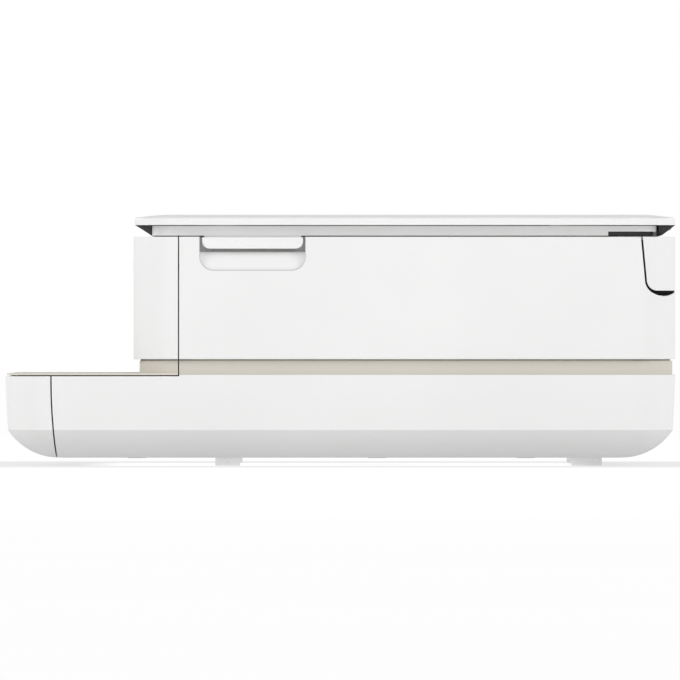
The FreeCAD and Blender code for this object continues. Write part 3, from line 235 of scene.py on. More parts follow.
def moulded(name, colour, roughness=0.42, depth=0.000012, drift=0.03, soft_edge=0.0):
    """Injection-moulded plastic: fine spark-eroded grain, slow tone drift and faint handling marks.

    depth is the grain's depth in metres, and drift the part of its tone that wanders.
    """
    s = Shader(name, colour, roughness)
    slow = s.noise(0.12, 2.0)
    speck = s.noise(PLASTIC_GRAIN * 2.2, 1.0)
    tone = s.ramp(slow, [(0.3, tint(colour, 1 - drift)), (0.7, tint(colour, 1 + drift * 0.4))])
    fine = s.spread(speck, 0.35, 0.65, 0.0, 0.35)
    s.colour(s.mix(fine, tone, tint(colour, 1 - drift)))
    marks = s.noise(0.03, 4.0, 0.6, stretch=(3, 1, 1))
    s.roughness(s.spread(marks, 0.3, 0.7, roughness - 0.05, roughness + 0.06))
    s.bump([(s.noise(0.02, 1.0), depth * 1.5), (s.noise(PLASTIC_GRAIN, 2.0), depth)], soft_edge)
    return s.material


def gloss(name, colour, roughness=0.12):
    """Polished plastic with faint orange-peel and dust-dulled patches."""
    s = Shader(name, colour, roughness, coat=0.5, coat_roughness=0.06)
    s.colour(s.ramp(s.noise(0.05, 3.0), [(0.3, tint(colour, 0.94)), (0.7, tint(colour, 1.06))]))
    s.roughness(s.spread(s.noise(0.008, 4.0, 0.65), 0.3, 0.75, roughness - 0.04, roughness + 0.09))
    s.bump([(s.noise(0.004, 1.0), 0.000004)])
    return s.material


def ground_steel(name, along, colour=STEEL):
    """Turned or ground bar, with its fine scratches running round or along the given stretch."""
    s = Shader(name, colour, 0.3, metallic=1.0)
    lines = s.noise(0.0006, 3.0, 0.7, stretch=along)
    s.colour(s.ramp(lines, [(0.3, tint(colour, 0.8)), (0.7, tint(colour, 1.15))]))
    s.roughness(s.spread(lines, 0.3, 0.7, 0.22, 0.42))
    s.bump([(lines, 0.000008)])
    return s.material


def zinc_sheet():
    """Zinc-plated sheet with its crystal spangle and rolling marks."""
    colour = (0.5, 0.51, 0.51)
    s = Shader("zinc_sheet", colour, 0.38, metallic=0.9)
    spangle = s.cells(0.007)
    lines = s.noise(0.001, 2.0, 0.6, stretch=(30, 1, 1))
    s.colour(s.mix(s.spread(spangle, 0.1, 0.8, 0.0, 0.8), tint(colour, 1.1), tint(colour, 0.82)))
    s.roughness(s.spread(lines, 0.3, 0.7, 0.3, 0.5))
    s.bump([(lines, 0.00001)])
    return s.material


def rubber(name, colour, roughness=0.75):
    """Ground rubber: open matt surface with a fine nap and pale dust on the edges."""
    s = Shader(name, colour, roughness, specular=0.3)
    nap = s.noise(RUBBER_NAP, 3.0, 0.65)
    dusty = s.mix(s.spread(nap, 0.3, 0.7, 0.0, 1.0), tint(colour, 0.9), tint(colour, 1.12))
    s.colour(s.mix(edge_wear(s, 0.0006), dusty, tint(colour, 1.25)))
    s.roughness(s.spread(s.noise(0.01, 3.0), 0.3, 0.7, roughness - 0.1, roughness + 0.1))
    s.bump([(nap, 0.00003)])
    return s.material


def shaft_and_tyres(name, axle, radius, gear_end):
    """Steel shaft inside rubber sleeves, with a plastic gear at its left end, told apart by place."""
    s = Shader(name, TYRE, 0.7)
    dy = s.math("SUBTRACT", s.coordinate("Y"), axle[0])
    dz = s.math("SUBTRACT", s.coordinate("Z"), axle[1])
    reach = s.math("SQRT", s.math("ADD", s.math("MULTIPLY", dy, dy), s.math("MULTIPLY", dz, dz)))
    on_shaft = s.math("LESS_THAN", reach, radius + 0.0002)
    on_gear = s.math("LESS_THAN", s.coordinate("X"), gear_end)
    nap = s.noise(RUBBER_NAP, 3.0, 0.6)
    rings = s.noise(0.0006, 2.0, 0.6, stretch=(1, 40, 40))
    rubber_tone = s.ramp(nap, [(0.3, tint(TYRE, 0.8)), (0.7, tint(TYRE, 1.4))])
    steel_tone = s.ramp(rings, [(0.3, tint(STEEL, 0.85)), (0.7, tint(STEEL, 1.1))])
    gear_tone = s.ramp(s.noise(0.01, 2.0), [(0.3, tint(ACETAL, 0.95)), (0.7, tint(ACETAL, 1.04))])
    s.colour(s.mix(on_gear, s.mix(on_shaft, rubber_tone, steel_tone), gear_tone))
    bare = s.math("MULTIPLY", on_shaft, s.math("SUBTRACT", 1.0, on_gear))
    s.link(bare, s.surface, "Metallic")
    s.roughness(s.spread(bare, 0.0, 1.0, 0.6, 0.28))
    s.bump([(nap, 0.00002)])
    return s.material


def circuit_board():
    """Solder mask over copper tracks, with plated holes."""
    mask, copper = (0.012, 0.11, 0.055), (0.03, 0.2, 0.1)
    s = Shader("solder_mask", mask, 0.3, coat=0.4, coat_roughness=0.15)
    bricks = s.add("ShaderNodeTexBrick", offset=0.37, squash=0.6, squash_frequency=3)
    bricks.inputs["Scale"].default_value = 260
    bricks.inputs["Mortar Size"].default_value = 0.06
    bricks.inputs["Mortar Smooth"].default_value = 0.2
    s.link(s.place, bricks, "Vector")
    holes = s.math("LESS_THAN", s.cells(0.004), 0.12)
    tracks = s.mix(bricks.outputs["Fac"], mask, copper)
    s.colour(s.mix(holes, tracks, (0.62, 0.6, 0.5)))
    s.bump([(bricks.outputs["Fac"], 0.00003)])
    s.roughness(s.spread(s.noise(0.01, 3.0), 0.3, 0.7, 0.24, 0.38))
    return s.material


def clear_glass():
    """Float glass with a faint green cast and wiped smears."""
    s = Shader("float_glass", (0.93, 0.97, 0.96), 0.02)
    s.surface.inputs["Transmission Weight"].default_value = 1.0
    s.surface.inputs["IOR"].default_value = 1.5
    s.roughness(s.spread(s.noise(0.02, 4.0, 0.6), 0.35, 0.8, 0.012, 0.05))
    s.colour(s.ramp(s.noise(0.2, 1.0), [(0.2, (0.9, 0.96, 0.94)), (0.8, (0.94, 0.98, 0.97))]))
    return s.material


def foam_pad():
    """White facing laminated on foam: pin-pricked surface."""
    white = (0.86, 0.86, 0.85)
    s = Shader("foam_facing", white, 0.7, specular=0.3)
    pores = s.cells(0.0016)
    s.colour(s.mix(s.spread(pores, 0.0, 0.25, 1.0, 0.0), white, tint(white, 0.93)))
    s.roughness(s.spread(s.noise(0.02, 2.0), 0.3, 0.7, 0.62, 0.78))
    s.bump([(pores, 0.00008), (s.noise(0.05, 1.0), 0.0002)])
    return s.material


def encoder_film():
    """Clear film with fine ruled lines."""
    s = Shader("encoder_film", (0.35, 0.37, 0.4), 0.15)
    lines = s.math("SINE", s.math("MULTIPLY", s.coordinate("X"), 5000.0))
    s.colour(s.mix(s.spread(lines, -0.2, 0.2, 0.0, 1.0), (0.6, 0.62, 0.64), (0.05, 0.05, 0.055)))
    s.roughness(s.spread(s.noise(0.01, 2.0), 0.3, 0.7, 0.1, 0.22))
    return s.material


def toothed_belt():
    """Black belt rubber ribbed across its run."""
    s = Shader("toothed_belt", BLACK, 0.7, specular=0.3)
    ribs = s.math("SINE", s.math("MULTIPLY", s.coordinate("X"), 3100.0))
    s.colour(s.ramp(s.noise(0.004, 3.0), [(0.3, (0.022, 0.022, 0.024)), (0.7, (0.045, 0.045, 0.048))]))
    s.roughness(s.spread(s.noise(0.003, 2.0), 0.3, 0.7, 0.6, 0.8))
    s.bump([(ribs, 0.0004)])
    return s.material


def cork_sheet():
    """Pressed cork crumbs."""
    s = Shader("cork", (0.42, 0.28, 0.16), 0.85, specular=0.2)
    crumbs = s.cells(0.0012)
    s.colour(s.ramp(crumbs, [(0.1, (0.3, 0.18, 0.09)), (0.6, (0.5, 0.34, 0.2))]))
    s.bump([(crumbs, 0.0001)])
    s.roughness(s.spread(s.noise(0.004, 2.0), 0.3, 0.7, 0.8, 0.95))
    return s.material


def lens_bar():
    """Milky light guide."""
    s = Shader("light_guide", (0.6, 0.63, 0.65), 0.25, coat=0.3)
    s.surface.inputs["Subsurface Weight"].default_value = 0.3
    s.surface.inputs["Subsurface Scale"].default_value = 0.003
    s.colour(s.ramp(s.noise(0.09, 1.0), [(0.3, (0.58, 0.61, 0.63)), (0.7, (0.63, 0.66, 0.68))]))
    s.roughness(s.spread(s.noise(0.02, 2.0), 0.3, 0.7, 0.2, 0.3))
    return s.material


def paint(material, *names):
    for name in names:
        node = NODES[name]
        node.data.materials.clear()
        node.data.materials.append(material)


def paint_cad():
    """Gives every CAD node its material."""
    paint(moulded("casing_white", WHITE, 0.44, soft_edge=0.0005), "right_side_panel", "left_side_panel",
          "front_fascia", "rear_cover", "rear_hinge_cover")
    # the base is the casing's white plastic made 1% lighter: painted light on its walls, which lean away from
    # the lamps
    paint(moulded("base_white_painted_light", tint(WHITE, 1.01), 0.44, soft_edge=0.0005), "base_housing", "tray_front")
    paint(moulded("lid_white", WHITE, 0.38, depth=0.000008, drift=0.015), "lid_shell")
    paint(moulded("accent_beige", BEIGE, 0.5, drift=0.04), "accent_bands")
    # the band's beige made 12% lighter: painted light on the plate's top edge
    paint(moulded("plate_beige_painted_light", tint(BEIGE, 1.12), 0.5, drift=0.04), "output_plate", "tray_extender")
    # the bed frame is the casing's white plastic made 13% lighter: painted light on the strip that the lid's
    # overhang shades
    paint(moulded("bed_white_painted_light", tint(WHITE, 1.13), 0.45), "bed_frame")
    # black moulded plastic; on the hinge brackets it also blackens the stop that closes the rear-corner gap,
    # as painted shade in that gap
    paint(moulded("trim_black", (0.02, 0.02, 0.021), 0.5), "dark_trims", "lid_rear_bar", "hinge_brackets")
    # the grip tabs are the casing's white plastic made 2% darker: painted shade that tones down the light
    # they catch
    paint(moulded("tab_white", tint(WHITE, 0.98), 0.3, depth=0.000005), "grip_tabs")
    paint(moulded("inner_grey", INNER, 0.5, drift=0.08), "scanner_tub", "tray_pan", "platen",
          "roller_holders", "paper_turn_guide", "pick_arm", "pinch_rollers")
    paint(rubber("foot_rubber", (0.92, 0.92, 0.91), 0.7), "rubber_feet")
    paint(clear_glass(), "scan_glass")
    paint(foam_pad(), "document_pad")
    paint(ground_steel("ground_bar", (40, 1, 1)), "scan_drive", "motor_pinion", "star_wheels")
    paint(zinc_sheet(), "engine_frame", "carriage_rail")
    paint(moulded("acetal", ACETAL, 0.4), "idler_gear", "motor_pulley", "idler_pulley",
          "guide_pinion", "right_paper_guide", "left_paper_guide")
    paint(encoder_film(), "encoder_strip")
    paint(toothed_belt(), "drive_belt")
    paint(ground_steel("motor_can", (1, 30, 1), (0.42, 0.43, 0.44)), "drive_motors")
    paint(gloss("sensor_black", (0.02, 0.02, 0.022), 0.3), "scan_bar")
    paint(shaft_and_tyres("feed_shaft", FEED_AXLE, FEED_SHAFT_R, SHAFT_GEARS_END), "feed_roller")
    paint(shaft_and_tyres("exit_shaft", EXIT_AXLE, EXIT_SHAFT_R, SHAFT_GEARS_END), "exit_roller")
    paint(rubber("tyre_rubber", TYRE), "pick_roller", "cap_sled")
    paint(moulded("carriage_black", BLACK, 0.45), "carriage_shell", "service_station")
    paint(moulded("cartridge_black", BLACK, 0.45, drift=0.15), "black_cartridge")
    paint(moulded("cartridge_grey", (0.09, 0.09, 0.095), 0.45, drift=0.12), "colour_cartridge")
    paint(moulded("latch_blue", (0.1, 0.22, 0.4), 0.4), "colour_latch", "black_latch")
    paint(circuit_board(), "main_board")
    paint(ground_steel("socket_shell", (1, 20, 1), (0.6, 0.6, 0.59)), "usb_port")
    paint(moulded("supply_black", (0.025, 0.025, 0.027), 0.55), "power_supply", "power_inlet")
    paint(moulded("button_grey", (0.36, 0.36, 0.355), 0.4), "power_button", "wifi_button")
    paint(lens_bar(), "status_light_bar")
    paint(gloss("panel_black", (0.012, 0.012, 0.013)), "touch_panel")
    paint(ground_steel("screw_zinc", (1, 1, 1), (0.5, 0.5, 0.48)), "case_screws")


# ---------------------------------------------------------------- piece helpers
def seat(origin, across, up):
    """Frame on a surface: origin in millimetres, two directions along the surface, the third outwards."""
    a, b = Vector(across), Vector(up)
    frame_matrix = Matrix((a, b, a.cross(b))).transposed().to_4x4()
    frame_matrix.translation = Vector(origin) * MM
    return frame_matrix


def facing_front(x, y, z):
    return seat((x, y, z), (1, 0, 0), (0, 0, 1))


def facing_rear(x, y, z):
    return seat((x, y, z), (-1, 0, 0), (0, 0, 1))


def facing_up(x, y, z):
    return seat((x, y, z), (1, 0, 0), (0, 1, 0))


def facing_down(x, y, z):
    return seat((x, y, z), (1, 0, 0), (0, -1, 0))


def facing_side(side):
    """Outermost plane of the printer's right (1) or left (-1) side, with u running along side * y."""
    return seat((side * HIGH.x / MM, 0, 0), (0, side, 0), (0, 0, 1))


def put(bm, at, u, v, h):
    """Vertex at u, v along a seat and h outwards from it, in millimetres."""
    return bm.verts.new(at @ (Vector((u, v, h)) * MM))


def plate(bm, at, outline, top):
    """Flat plate over an outline of (u, v) millimetres, anticlockwise seen from outside."""
    low = [put(bm, at, u, v, 0.0) for u, v in outline]
    high = [put(bm, at, u, v, top) for u, v in outline]
    bm.faces.new(list(reversed(low)))
    bm.faces.new(high)
    for i, corner in enumerate(low):
        j = (i + 1) % len(low)
        bm.faces.new((corner, low[j], high[j], high[i]))


def rounded(u0, v0, u1, v1, r, steps=5):
    """Outline of a rectangle with round corners."""
    points = []
    corners = ((u1 - r, v0 + r, -90), (u1 - r, v1 - r, 0), (u0 + r, v1 - r, 90), (u0 + r, v0 + r, 180))
    for cu, cv, start in corners:
        for k in range(steps + 1):
            angle = math.radians(start + 90 * k / steps)
            points.append((cu + r * math.cos(angle), cv + r * math.sin(angle)))
    return points


def arc(cu, cv, r, start, end, steps=20):
    """Points along an arc, from the angle start to end in degrees."""
    angles = [math.radians(start + (end - start) * k / steps) for k in range(steps + 1)]
    return [(cu + r * math.cos(a), cv + r * math.sin(a)) for a in angles]


def line(bm, at, points, width, top, closed=False):
    """Raised line of even width along a path, with mitred corners."""
    count = len(points)
    sides = []
    for i, (u, v) in enumerate(points):
        before = Vector(points[i - 1]) if closed or i else None
        after = Vector(points[(i + 1) % count]) if closed or i < count - 1 else None
        here = Vector((u, v))
        runs = [here - before] if before else []
        runs += [after - here] if after else []
        runs = [run.normalized() for run in runs]
        along = sum(runs, Vector((0, 0))).normalized()
        normal = Vector((-along.y, along.x))
        half = width / 2 / max(0.3, along.dot(runs[0]))
        sides.append([put(bm, at, *(here + normal * half * s), h) for s in (1, -1) for h in (0.0, top)])
    for i in range(count if closed else count - 1):
        a, b = sides[i], sides[(i + 1) % count]
        for j, k in ((0, 1), (1, 3), (3, 2), (2, 0)):
            bm.faces.new((a[j], a[k], b[k], b[j]))
    if not closed:
        for end in (sides[0], sides[-1]):
            bm.faces.new((end[0], end[1], end[3], end[2]))


def screw_head(bm, at, r):
    """Pan head with a cross recess, as a dome on a polar grid."""
    steps, rings = 32, 8
    turns = [2 * math.pi * k / steps for k in range(steps)]
    grid = []
    for ring in range(1, rings + 1):
        reach = ring / rings
        row = []
        for a in turns:
            height = 0.5 * r * math.sqrt(1 - 0.96 * reach ** 2)
            narrow = min(abs(math.sin(a)), abs(math.cos(a))) * reach
            if narrow < 0.14 and reach < 0.62:
                height -= 0.34 * r
            row.append(put(bm, at, r * reach * math.cos(a), r * reach * math.sin(a), height))
        grid.append(row)
    centre = put(bm, at, 0, 0, 0.14 * r)
    foot = [put(bm, at, r * math.cos(a), r * math.sin(a), 0) for a in turns]
    for k in range(steps):
        j = (k + 1) % steps
        bm.faces.new((centre, grid[0][k], grid[0][j]))
        for inner, outer in zip(grid, grid[1:] + [foot]):
            bm.faces.new((inner[k], outer[k], outer[j], inner[j]))
    bm.faces.new(list(reversed(foot)))


def finish_piece(name, bm, material, body, bevel=0.0):
    """Turns a bmesh into an object that rides on a body."""
    bmesh.ops.recalc_face_normals(bm, faces=bm.faces)
    mesh = bpy.data.meshes.new(name)
    bm.to_mesh(mesh)
    bm.free()
    mesh.materials.append(material)
    thing = bpy.data.objects.new(name, mesh)
    bpy.context.scene.collection.objects.link(thing)
    if bevel:
        soften = thing.modifiers.new("soft_edges", "BEVEL")
        soften.width = bevel * MM
        soften.segments = 2
        soften.limit_method = "ANGLE"
    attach(thing, body)


# ---------------------------------------------------------------- pictograms
def icon_sheet(bm, at, top):
    line(bm, at, [(-1.9, -2.6), (1.9, -2.6), (1.9, 1.3), (0.7, 2.6), (-1.9, 2.6)], 0.34, top, closed=True)
    line(bm, at, [(0.7, 2.6), (0.7, 1.3), (1.9, 1.3)], 0.3, top)


def icon_copies(bm, at, top):
    line(bm, at, [(-2.5, -1.2), (0.9, -1.2), (0.9, 2.8), (-2.5, 2.8)], 0.34, top, closed=True)
    line(bm, at, [(1.6, 1.6), (2.5, 1.6), (2.5, -2.6), (-0.9, -2.6), (-0.9, -1.8)], 0.34, top)


def icon_waves(bm, at, top):
    for r in (1.3, 2.4, 3.5):
        line(bm, at, arc(0, -1.8, r, 45, 135), 0.36, top)
    plate(bm, at, arc(0, -1.8, 0.45, 0, 340, 12), top)


def icon_drop(bm, at, top):
    bulb = arc(0, -0.8, 1.8, -200, 20)
    line(bm, at, bulb + [(0, 2.9)], 0.34, top, closed=True)


def icon_stop(bm, at, top):
    line(bm, at, arc(0, 0, 2.7, 0, 348, 28), 0.34, top, closed=True)
    line(bm, at, [(-1.1, -1.1), (1.1, 1.1)], 0.38, top)
    line(bm, at, [(-1.1, 1.1), (1.1, -1.1)], 0.38, top)


def icon_start(bm, at, top):
    line(bm, at, arc(0, 0, 2.7, 0, 348, 28), 0.34, top, closed=True)
    plate(bm, at, [(-0.8, -1.3), (1.4, 0), (-0.8, 1.3)], top)


def icon_power(bm, at, top):
    line(bm, at, arc(0, -0.2, 1.9, 125, 415, 28), 0.42, top)
    line(bm, at, [(0, -0.1), (0, 2.5)], 0.42, top)


# ---------------------------------------------------------------- pieces on the outside
def panel_pictograms(paint_white):
    low, high = (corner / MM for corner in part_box("touch_panel"))
    icons = (icon_sheet, icon_copies, icon_waves, icon_drop, icon_stop, icon_start)
    pitch = (high.x - low.x) / len(icons)
    bm = bmesh.new()
    for i, icon in enumerate(icons):
        icon(bm, facing_front(low.x + pitch * (i + 0.5), low.y, (low.z + high.z) / 2), 0.06)
    finish_piece("panel_pictograms", bm, paint_white, "chassis")


def button_pictograms(ink):
    keys = (("power_button", icon_power, "power_key"), ("wifi_button", icon_waves, "wifi_key"))
    for node, icon, body in keys:
        low, high = (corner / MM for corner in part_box(node))
        bm = bmesh.new()
        icon(bm, facing_rear((low.x + high.x) / 2, high.y, (low.z + high.z) / 2), 0.05)
        finish_piece(node + "_pictogram", bm, ink, body)


def rear_fittings(casing, label, ink):
    """Socket surrounds, a blank rating plate and the marks beside the sockets."""
    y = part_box("rear_cover")[1].y / MM
    sockets_z, inlet_x, usb_x = 68, 142, -146
    buttons_z, buttons_x = 70, (-80, -100)
    label_x, label_z, label_thick = 98, 75, 0.18
    bm = bmesh.new()
    for x, w, h in ((inlet_x, 22.6, 14.6), (usb_x, 16.6, 14.6)):
        at = facing_rear(x, y, sockets_z)
        line(bm, at, rounded(-w / 2, -h / 2, w / 2, h / 2, 1.6), 1.1, 0.35, closed=True)
    for x in buttons_x:
        line(bm, facing_rear(x, y, buttons_z), arc(0, 0, 5.9, 0, 350, 35), 0.9, 0.3, closed=True)
    finish_piece("socket_surrounds", bm, casing, "chassis", 0.12)
    bm = bmesh.new()
    plate(bm, facing_rear(label_x, y, label_z), rounded(-22, -8.5, 22, 8.5, 1.5), label_thick)
    finish_piece("rating_plate", bm, label, "chassis", 0.05)
    bm = bmesh.new()
    at = facing_rear(label_x, y + label_thick, label_z)
    line(bm, at, rounded(-20.8, -7.3, 20.8, 7.3, 1.0), 0.25, 0.03, closed=True)
    for row in range(3):
        line(bm, at, [(-18.5, 3.6 - 3.4 * row), (18.5, 3.6 - 3.4 * row)], 0.2, 0.03)
    finish_piece("rating_plate_lines", bm, ink, "chassis")


def outside_screws(zinc):
    """Screws in the rear cover and the underside, let into the surface."""
    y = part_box("rear_cover")[1].y / MM
    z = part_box("base_housing")[0].z / MM
    rear_inset, under_inset = 0.8, 1.1
    bm = bmesh.new()
    for x in REAR_SCREWS_X:
        screw_head(bm, facing_rear(x, y - rear_inset, REAR_SCREWS_Z), 2.5)
    finish_piece("rear_screws", bm, zinc, "chassis")
    bm = bmesh.new()
    for x, screw_y in UNDERSIDE_SCREWS:
        screw_head(bm, facing_down(x, screw_y, z + under_inset), 3.0)
    finish_piece("underside_screws", bm, zinc, "chassis")


def pocket_shade_lines(material):
    """Fine darker line round the lower part of the finger pocket in each side panel: painted shade along the
    pocket's rounded rim.
    """
    front, rear, low, top, r = -75.8, -18.8, 105.6, 114.5, 7.5
    turns = arc(front + r, low + r, r, 180, 270, 8) + arc(rear - r, low + r, r, 270, 360, 8)
    outline = [(front, top), *turns, (rear, top)]
    bm = bmesh.new()
    for side in (-1, 1):
        line(bm, facing_side(side), [(side * y, z) for y, z in outline], 0.55, 0.04)
    finish_piece("grip_pocket_edges", bm, material, "chassis")


def underside(casing, label):
    """Raised rings round the screws, stiffening bars and a blank plate under the base."""
    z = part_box("base_housing")[0].z / MM
    ring_r, height = 4.6, 0.35
    bars, bar_pitch, bars_y = 12, 12, 92
    bm = bmesh.new()
    for x, y in UNDERSIDE_SCREWS:
        line(bm, facing_down(x, y, z), arc(0, 0, ring_r, 0, 350, 35), 1.0, height, closed=True)
    for i in range(bars):
        x = bar_pitch * (i - (bars - 1) / 2)
        plate(bm, facing_down(x, bars_y, z), rounded(-1.0, -26, 1.0, 26, 0.9), height)
    finish_piece("underside_ribs", bm, casing, "chassis", 0.15)
    bm = bmesh.new()
    plate(bm, facing_down(0, 20, z), rounded(-38, -22, 38, 22, 2.5), 0.15)
    finish_piece("underside_plate", bm, label, "chassis", 0.05)


def lid_bumpers(soft):
    """Small rubber strips under the lid's rim."""
    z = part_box("lid_shell")[0].z / MM
    side_x, front_y, rear_y = 206, -62, 118
    bm = bmesh.new()
    for x in (-side_x, side_x):
        for y in (front_y, rear_y):
            plate(bm, facing_down(x, y, z), rounded(-1.6, -6, 1.6, 6, 1.5), 0.3)
    finish_piece("lid_bumpers", bm, soft, "lid", 0.08)


# ---------------------------------------------------------------- pieces on the scanner
def bed_scales(ink, calibration):
    """Rulers along two edges of the glass, a corner mark, and the white strip that sets the scan level."""
    glass_low, glass_high = (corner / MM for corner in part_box("scan_glass"))
    left, rear = glass_low.x + GLASS_LAP, glass_high.y - GLASS_LAP      # corner of the glass in view
    gap, pitch, short, long = 1.5, 10, 2.2, 4.2
    bm = bmesh.new()
    for k in range(30):
        length = short if k % 5 else long
        line(bm, facing_up(left + pitch * k, rear + gap, BED_DECK_Z), [(0, 0), (0, length)], 0.3, 0.05)
    for k in range(22):
        length = short if k % 5 else long
        line(bm, facing_up(left - gap, rear - pitch * k, BED_DECK_Z), [(0, 0), (-length, 0)], 0.3, 0.05)
    corner = facing_up(left - 2 * gap, rear + 2 * gap, BED_DECK_Z)
    plate(bm, corner, [(0, -0.2), (-4.2, 1.4), (-1.4, 4.2)], 0.06)
    finish_piece("bed_scales", bm, ink, "scanner_unit")
    bm = bmesh.new()
    under = facing_down(glass_low.x + 5.5, (glass_low.y + glass_high.y) / 2, glass_low.z)
    plate(bm, under, rounded(-2.2, -104, 2.2, 104, 0.3), 0.05)
    finish_piece("calibration_strip", bm, calibration, "scanner_unit")


def tub_underside(shade, zinc):
    """Stiffening ribs and screws under the scanner tub, seen when the scanner is raised."""
    low, high = (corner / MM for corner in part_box("scanner_tub"))
    middle_y = (low.y + high.y) / 2
    half_x, half_y = high.x - 9, (high.y - low.y) / 2 - 9
    at = facing_down(0, middle_y, low.z)
    bm = bmesh.new()
    line(bm, at, rounded(-half_x, -half_y, half_x, half_y, 6), 1.4, 0.9, closed=True)
    ribs, rib_pitch = 9, 40
    for i in range(ribs):
        x = rib_pitch * (i - (ribs - 1) / 2)
        line(bm, at, [(x, -half_y + 2), (x, half_y - 2)], 1.2, 0.8)
    for v in (-60, 0, 60):
        line(bm, at, [(-half_x + 2, v), (half_x - 2, v)], 1.2, 0.7)
    for x, v in TUB_SCREWS:
        line(bm, facing_down(x, middle_y - v, low.z), arc(0, 0, 4.4, 0, 350, 35), 1.2, 0.9, closed=True)
    finish_piece("tub_ribs", bm, shade, "scanner_unit", 0.15)
    bm = bmesh.new()
    for x, v in TUB_SCREWS:
        screw_head(bm, facing_down(x, middle_y - v, low.z), 2.8)
    finish_piece("tub_screws", bm, zinc, "scanner_unit")


# ---------------------------------------------------------------- pieces in the tray and engine
def tray_marks(ink):
    """Paper width marks moulded in the tray floor: a line for each width, and an arrow where it has room."""
    letter, a4, a5, card = 108.0, 105.0, 74.0, 50.8      # half of each sheet's width
    marks_y, height = -147, 0.12
    left_tip = [(0.8, 0), (3.4, -1.5), (3.4, 1.5)]
    tips = {-1: left_tip, 1: [(-u, v) for u, v in reversed(left_tip)]}
    bm = bmesh.new()
    for half_width in (letter, a4, a5, card):
        for side in (-1, 1):
            at = facing_up(side * half_width, marks_y, TRAY_FLOOR_Z)
            line(bm, at, [(0, -4), (0, 4)], 0.5, height)
            if half_width != a4:
                plate(bm, at, tips[side], height)
    finish_piece("tray_width_marks", bm, ink, "paper_tray")


def friction_pad(cork):
    """Cork pad under the pick roller, which holds back the second sheet."""
    pad_y, pad_z = 58.5, 12.2
    bm = bmesh.new()
    plate(bm, facing_up(0, pad_y, pad_z), rounded(-8.2, -8.4, 8.2, 8.4, 1.2), 0.45)
    finish_piece("friction_pad", bm, cork, "paper_tray", 0.1)


def guide_grips(material):
    """Ridges on the top edge of each paper guide."""
    for node, body in (("right_paper_guide", "right_guide"), ("left_paper_guide", "left_guide")):
        low, high = (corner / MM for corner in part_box(node))
        inset, ridges, pitch = 1.2, 9, 2
        x = high.x - inset if body == "right_guide" else low.x + inset
        middle = (low.y + high.y) / 2
        bm = bmesh.new()
        for k in range(ridges):
            y = middle + pitch * (k - (ridges - 1) / 2)
            plate(bm, facing_up(x, y, high.z), rounded(-1.0, -0.45, 1.0, 0.45, 0.35), 0.6)
        finish_piece(node + "_grip", bm, material, body, 0.1)


def extender_arrow(material):
    """Pull mark moulded on the shelf behind its lip."""
    arrow_y, shelf_z = -169.5, 48.3
    bm = bmesh.new()
    at = facing_up(0, arrow_y, shelf_z)
    line(bm, at, [(-7, 2), (0, -2), (7, 2)], 0.9, 0.25)
    line(bm, at, [(-4, 4.4), (0, 2.2), (4, 4.4)], 0.9, 0.25)
    finish_piece("extender_arrow", bm, material, "extender", 0.08)


def cartridge_labels(paper, inks, dark):
    """Pale label on each cartridge, with bars in its ink colours."""
    bars = {"colour_cartridge": inks, "black_cartridge": [dark]}
    for node, colours in bars.items():
        low, high = (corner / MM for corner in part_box(node))
        x = (low.x + high.x) / 2
        label_y, thick, bars_width, gap = 18, 0.15, 19.0, 0.6
        bm = bmesh.new()
        plate(bm, facing_up(x, label_y, CARTRIDGE_TOP_Z), rounded(-11.5, -21, 11.5, 22, 2), thick)
        finish_piece(node + "_label", bm, paper, "carriage", 0.05)
        on_label = facing_up(x, label_y, CARTRIDGE_TOP_Z + thick)
        for k, colour in enumerate(colours):
            width = bars_width / len(colours)
            u0 = width * k - bars_width / 2
            bm = bmesh.new()
            plate(bm, on_label, rounded(u0 + gap, -17, u0 + width - gap, 4, 0.8), 0.04)
            finish_piece(f"{node}_ink_bar_{k}", bm, colour, "carriage")


def board_parts(resin, tinned, ceramic):
    """Small surface-mounted parts, chip leads and socket pins on the main board."""
    z = BOARD_TOP_Z
    bm = bmesh.new()
    for x0, x1, y0, y1 in BOARD_CHIPS:
        for k in range(int((x1 - x0) / LEAD_PITCH) - 1):
            x = x0 + LEAD_PITCH * (k + 1)
            for y, out in ((y0, -1), (y1, 1)):
                plate(bm, facing_up(x, y + out * 0.8, z), rounded(-0.25, -0.8, 0.25, 0.8, 0.1), 0.35)
    for i in range(3):
        for k in range(6):
            pin = facing_up(-165 + 12 * i + LEAD_PITCH * k, 93.2, z)
            plate(bm, pin, rounded(-0.3, -0.8, 0.3, 0.8, 0.1), 0.5)
    finish_piece("board_leads", bm, tinned, "chassis")
    rng = random.Random(42)
    blocked = [(x0 - 3, x1 + 3, y0 - 3, y1 + 3) for x0, x1, y0, y1 in BOARD_CHIPS] + BOARD_SOCKETS
    dark, pale = bmesh.new(), bmesh.new()
    for i in range(14):
        for j in range(16):
            x = -180 + 4 * i + rng.uniform(-0.7, 0.7)
            y = 94 + 3.8 * j + rng.uniform(-0.7, 0.7)
            turned = rng.random() < 0.5
            used = rng.random() < 0.62
            if not used or any(x0 < x < x1 and y0 < y < y1 for x0, x1, y0, y1 in blocked):
                continue
            a, b = (1.0, 0.5) if turned else (0.5, 1.0)
            target = dark if rng.random() < 0.5 else pale
            plate(target, facing_up(x, y, z), rounded(-a, -b, a, b, 0.12, 2), 0.55)
    finish_piece("board_resistors", dark, resin, "chassis")
    finish_piece("board_capacitors", pale, ceramic, "chassis")


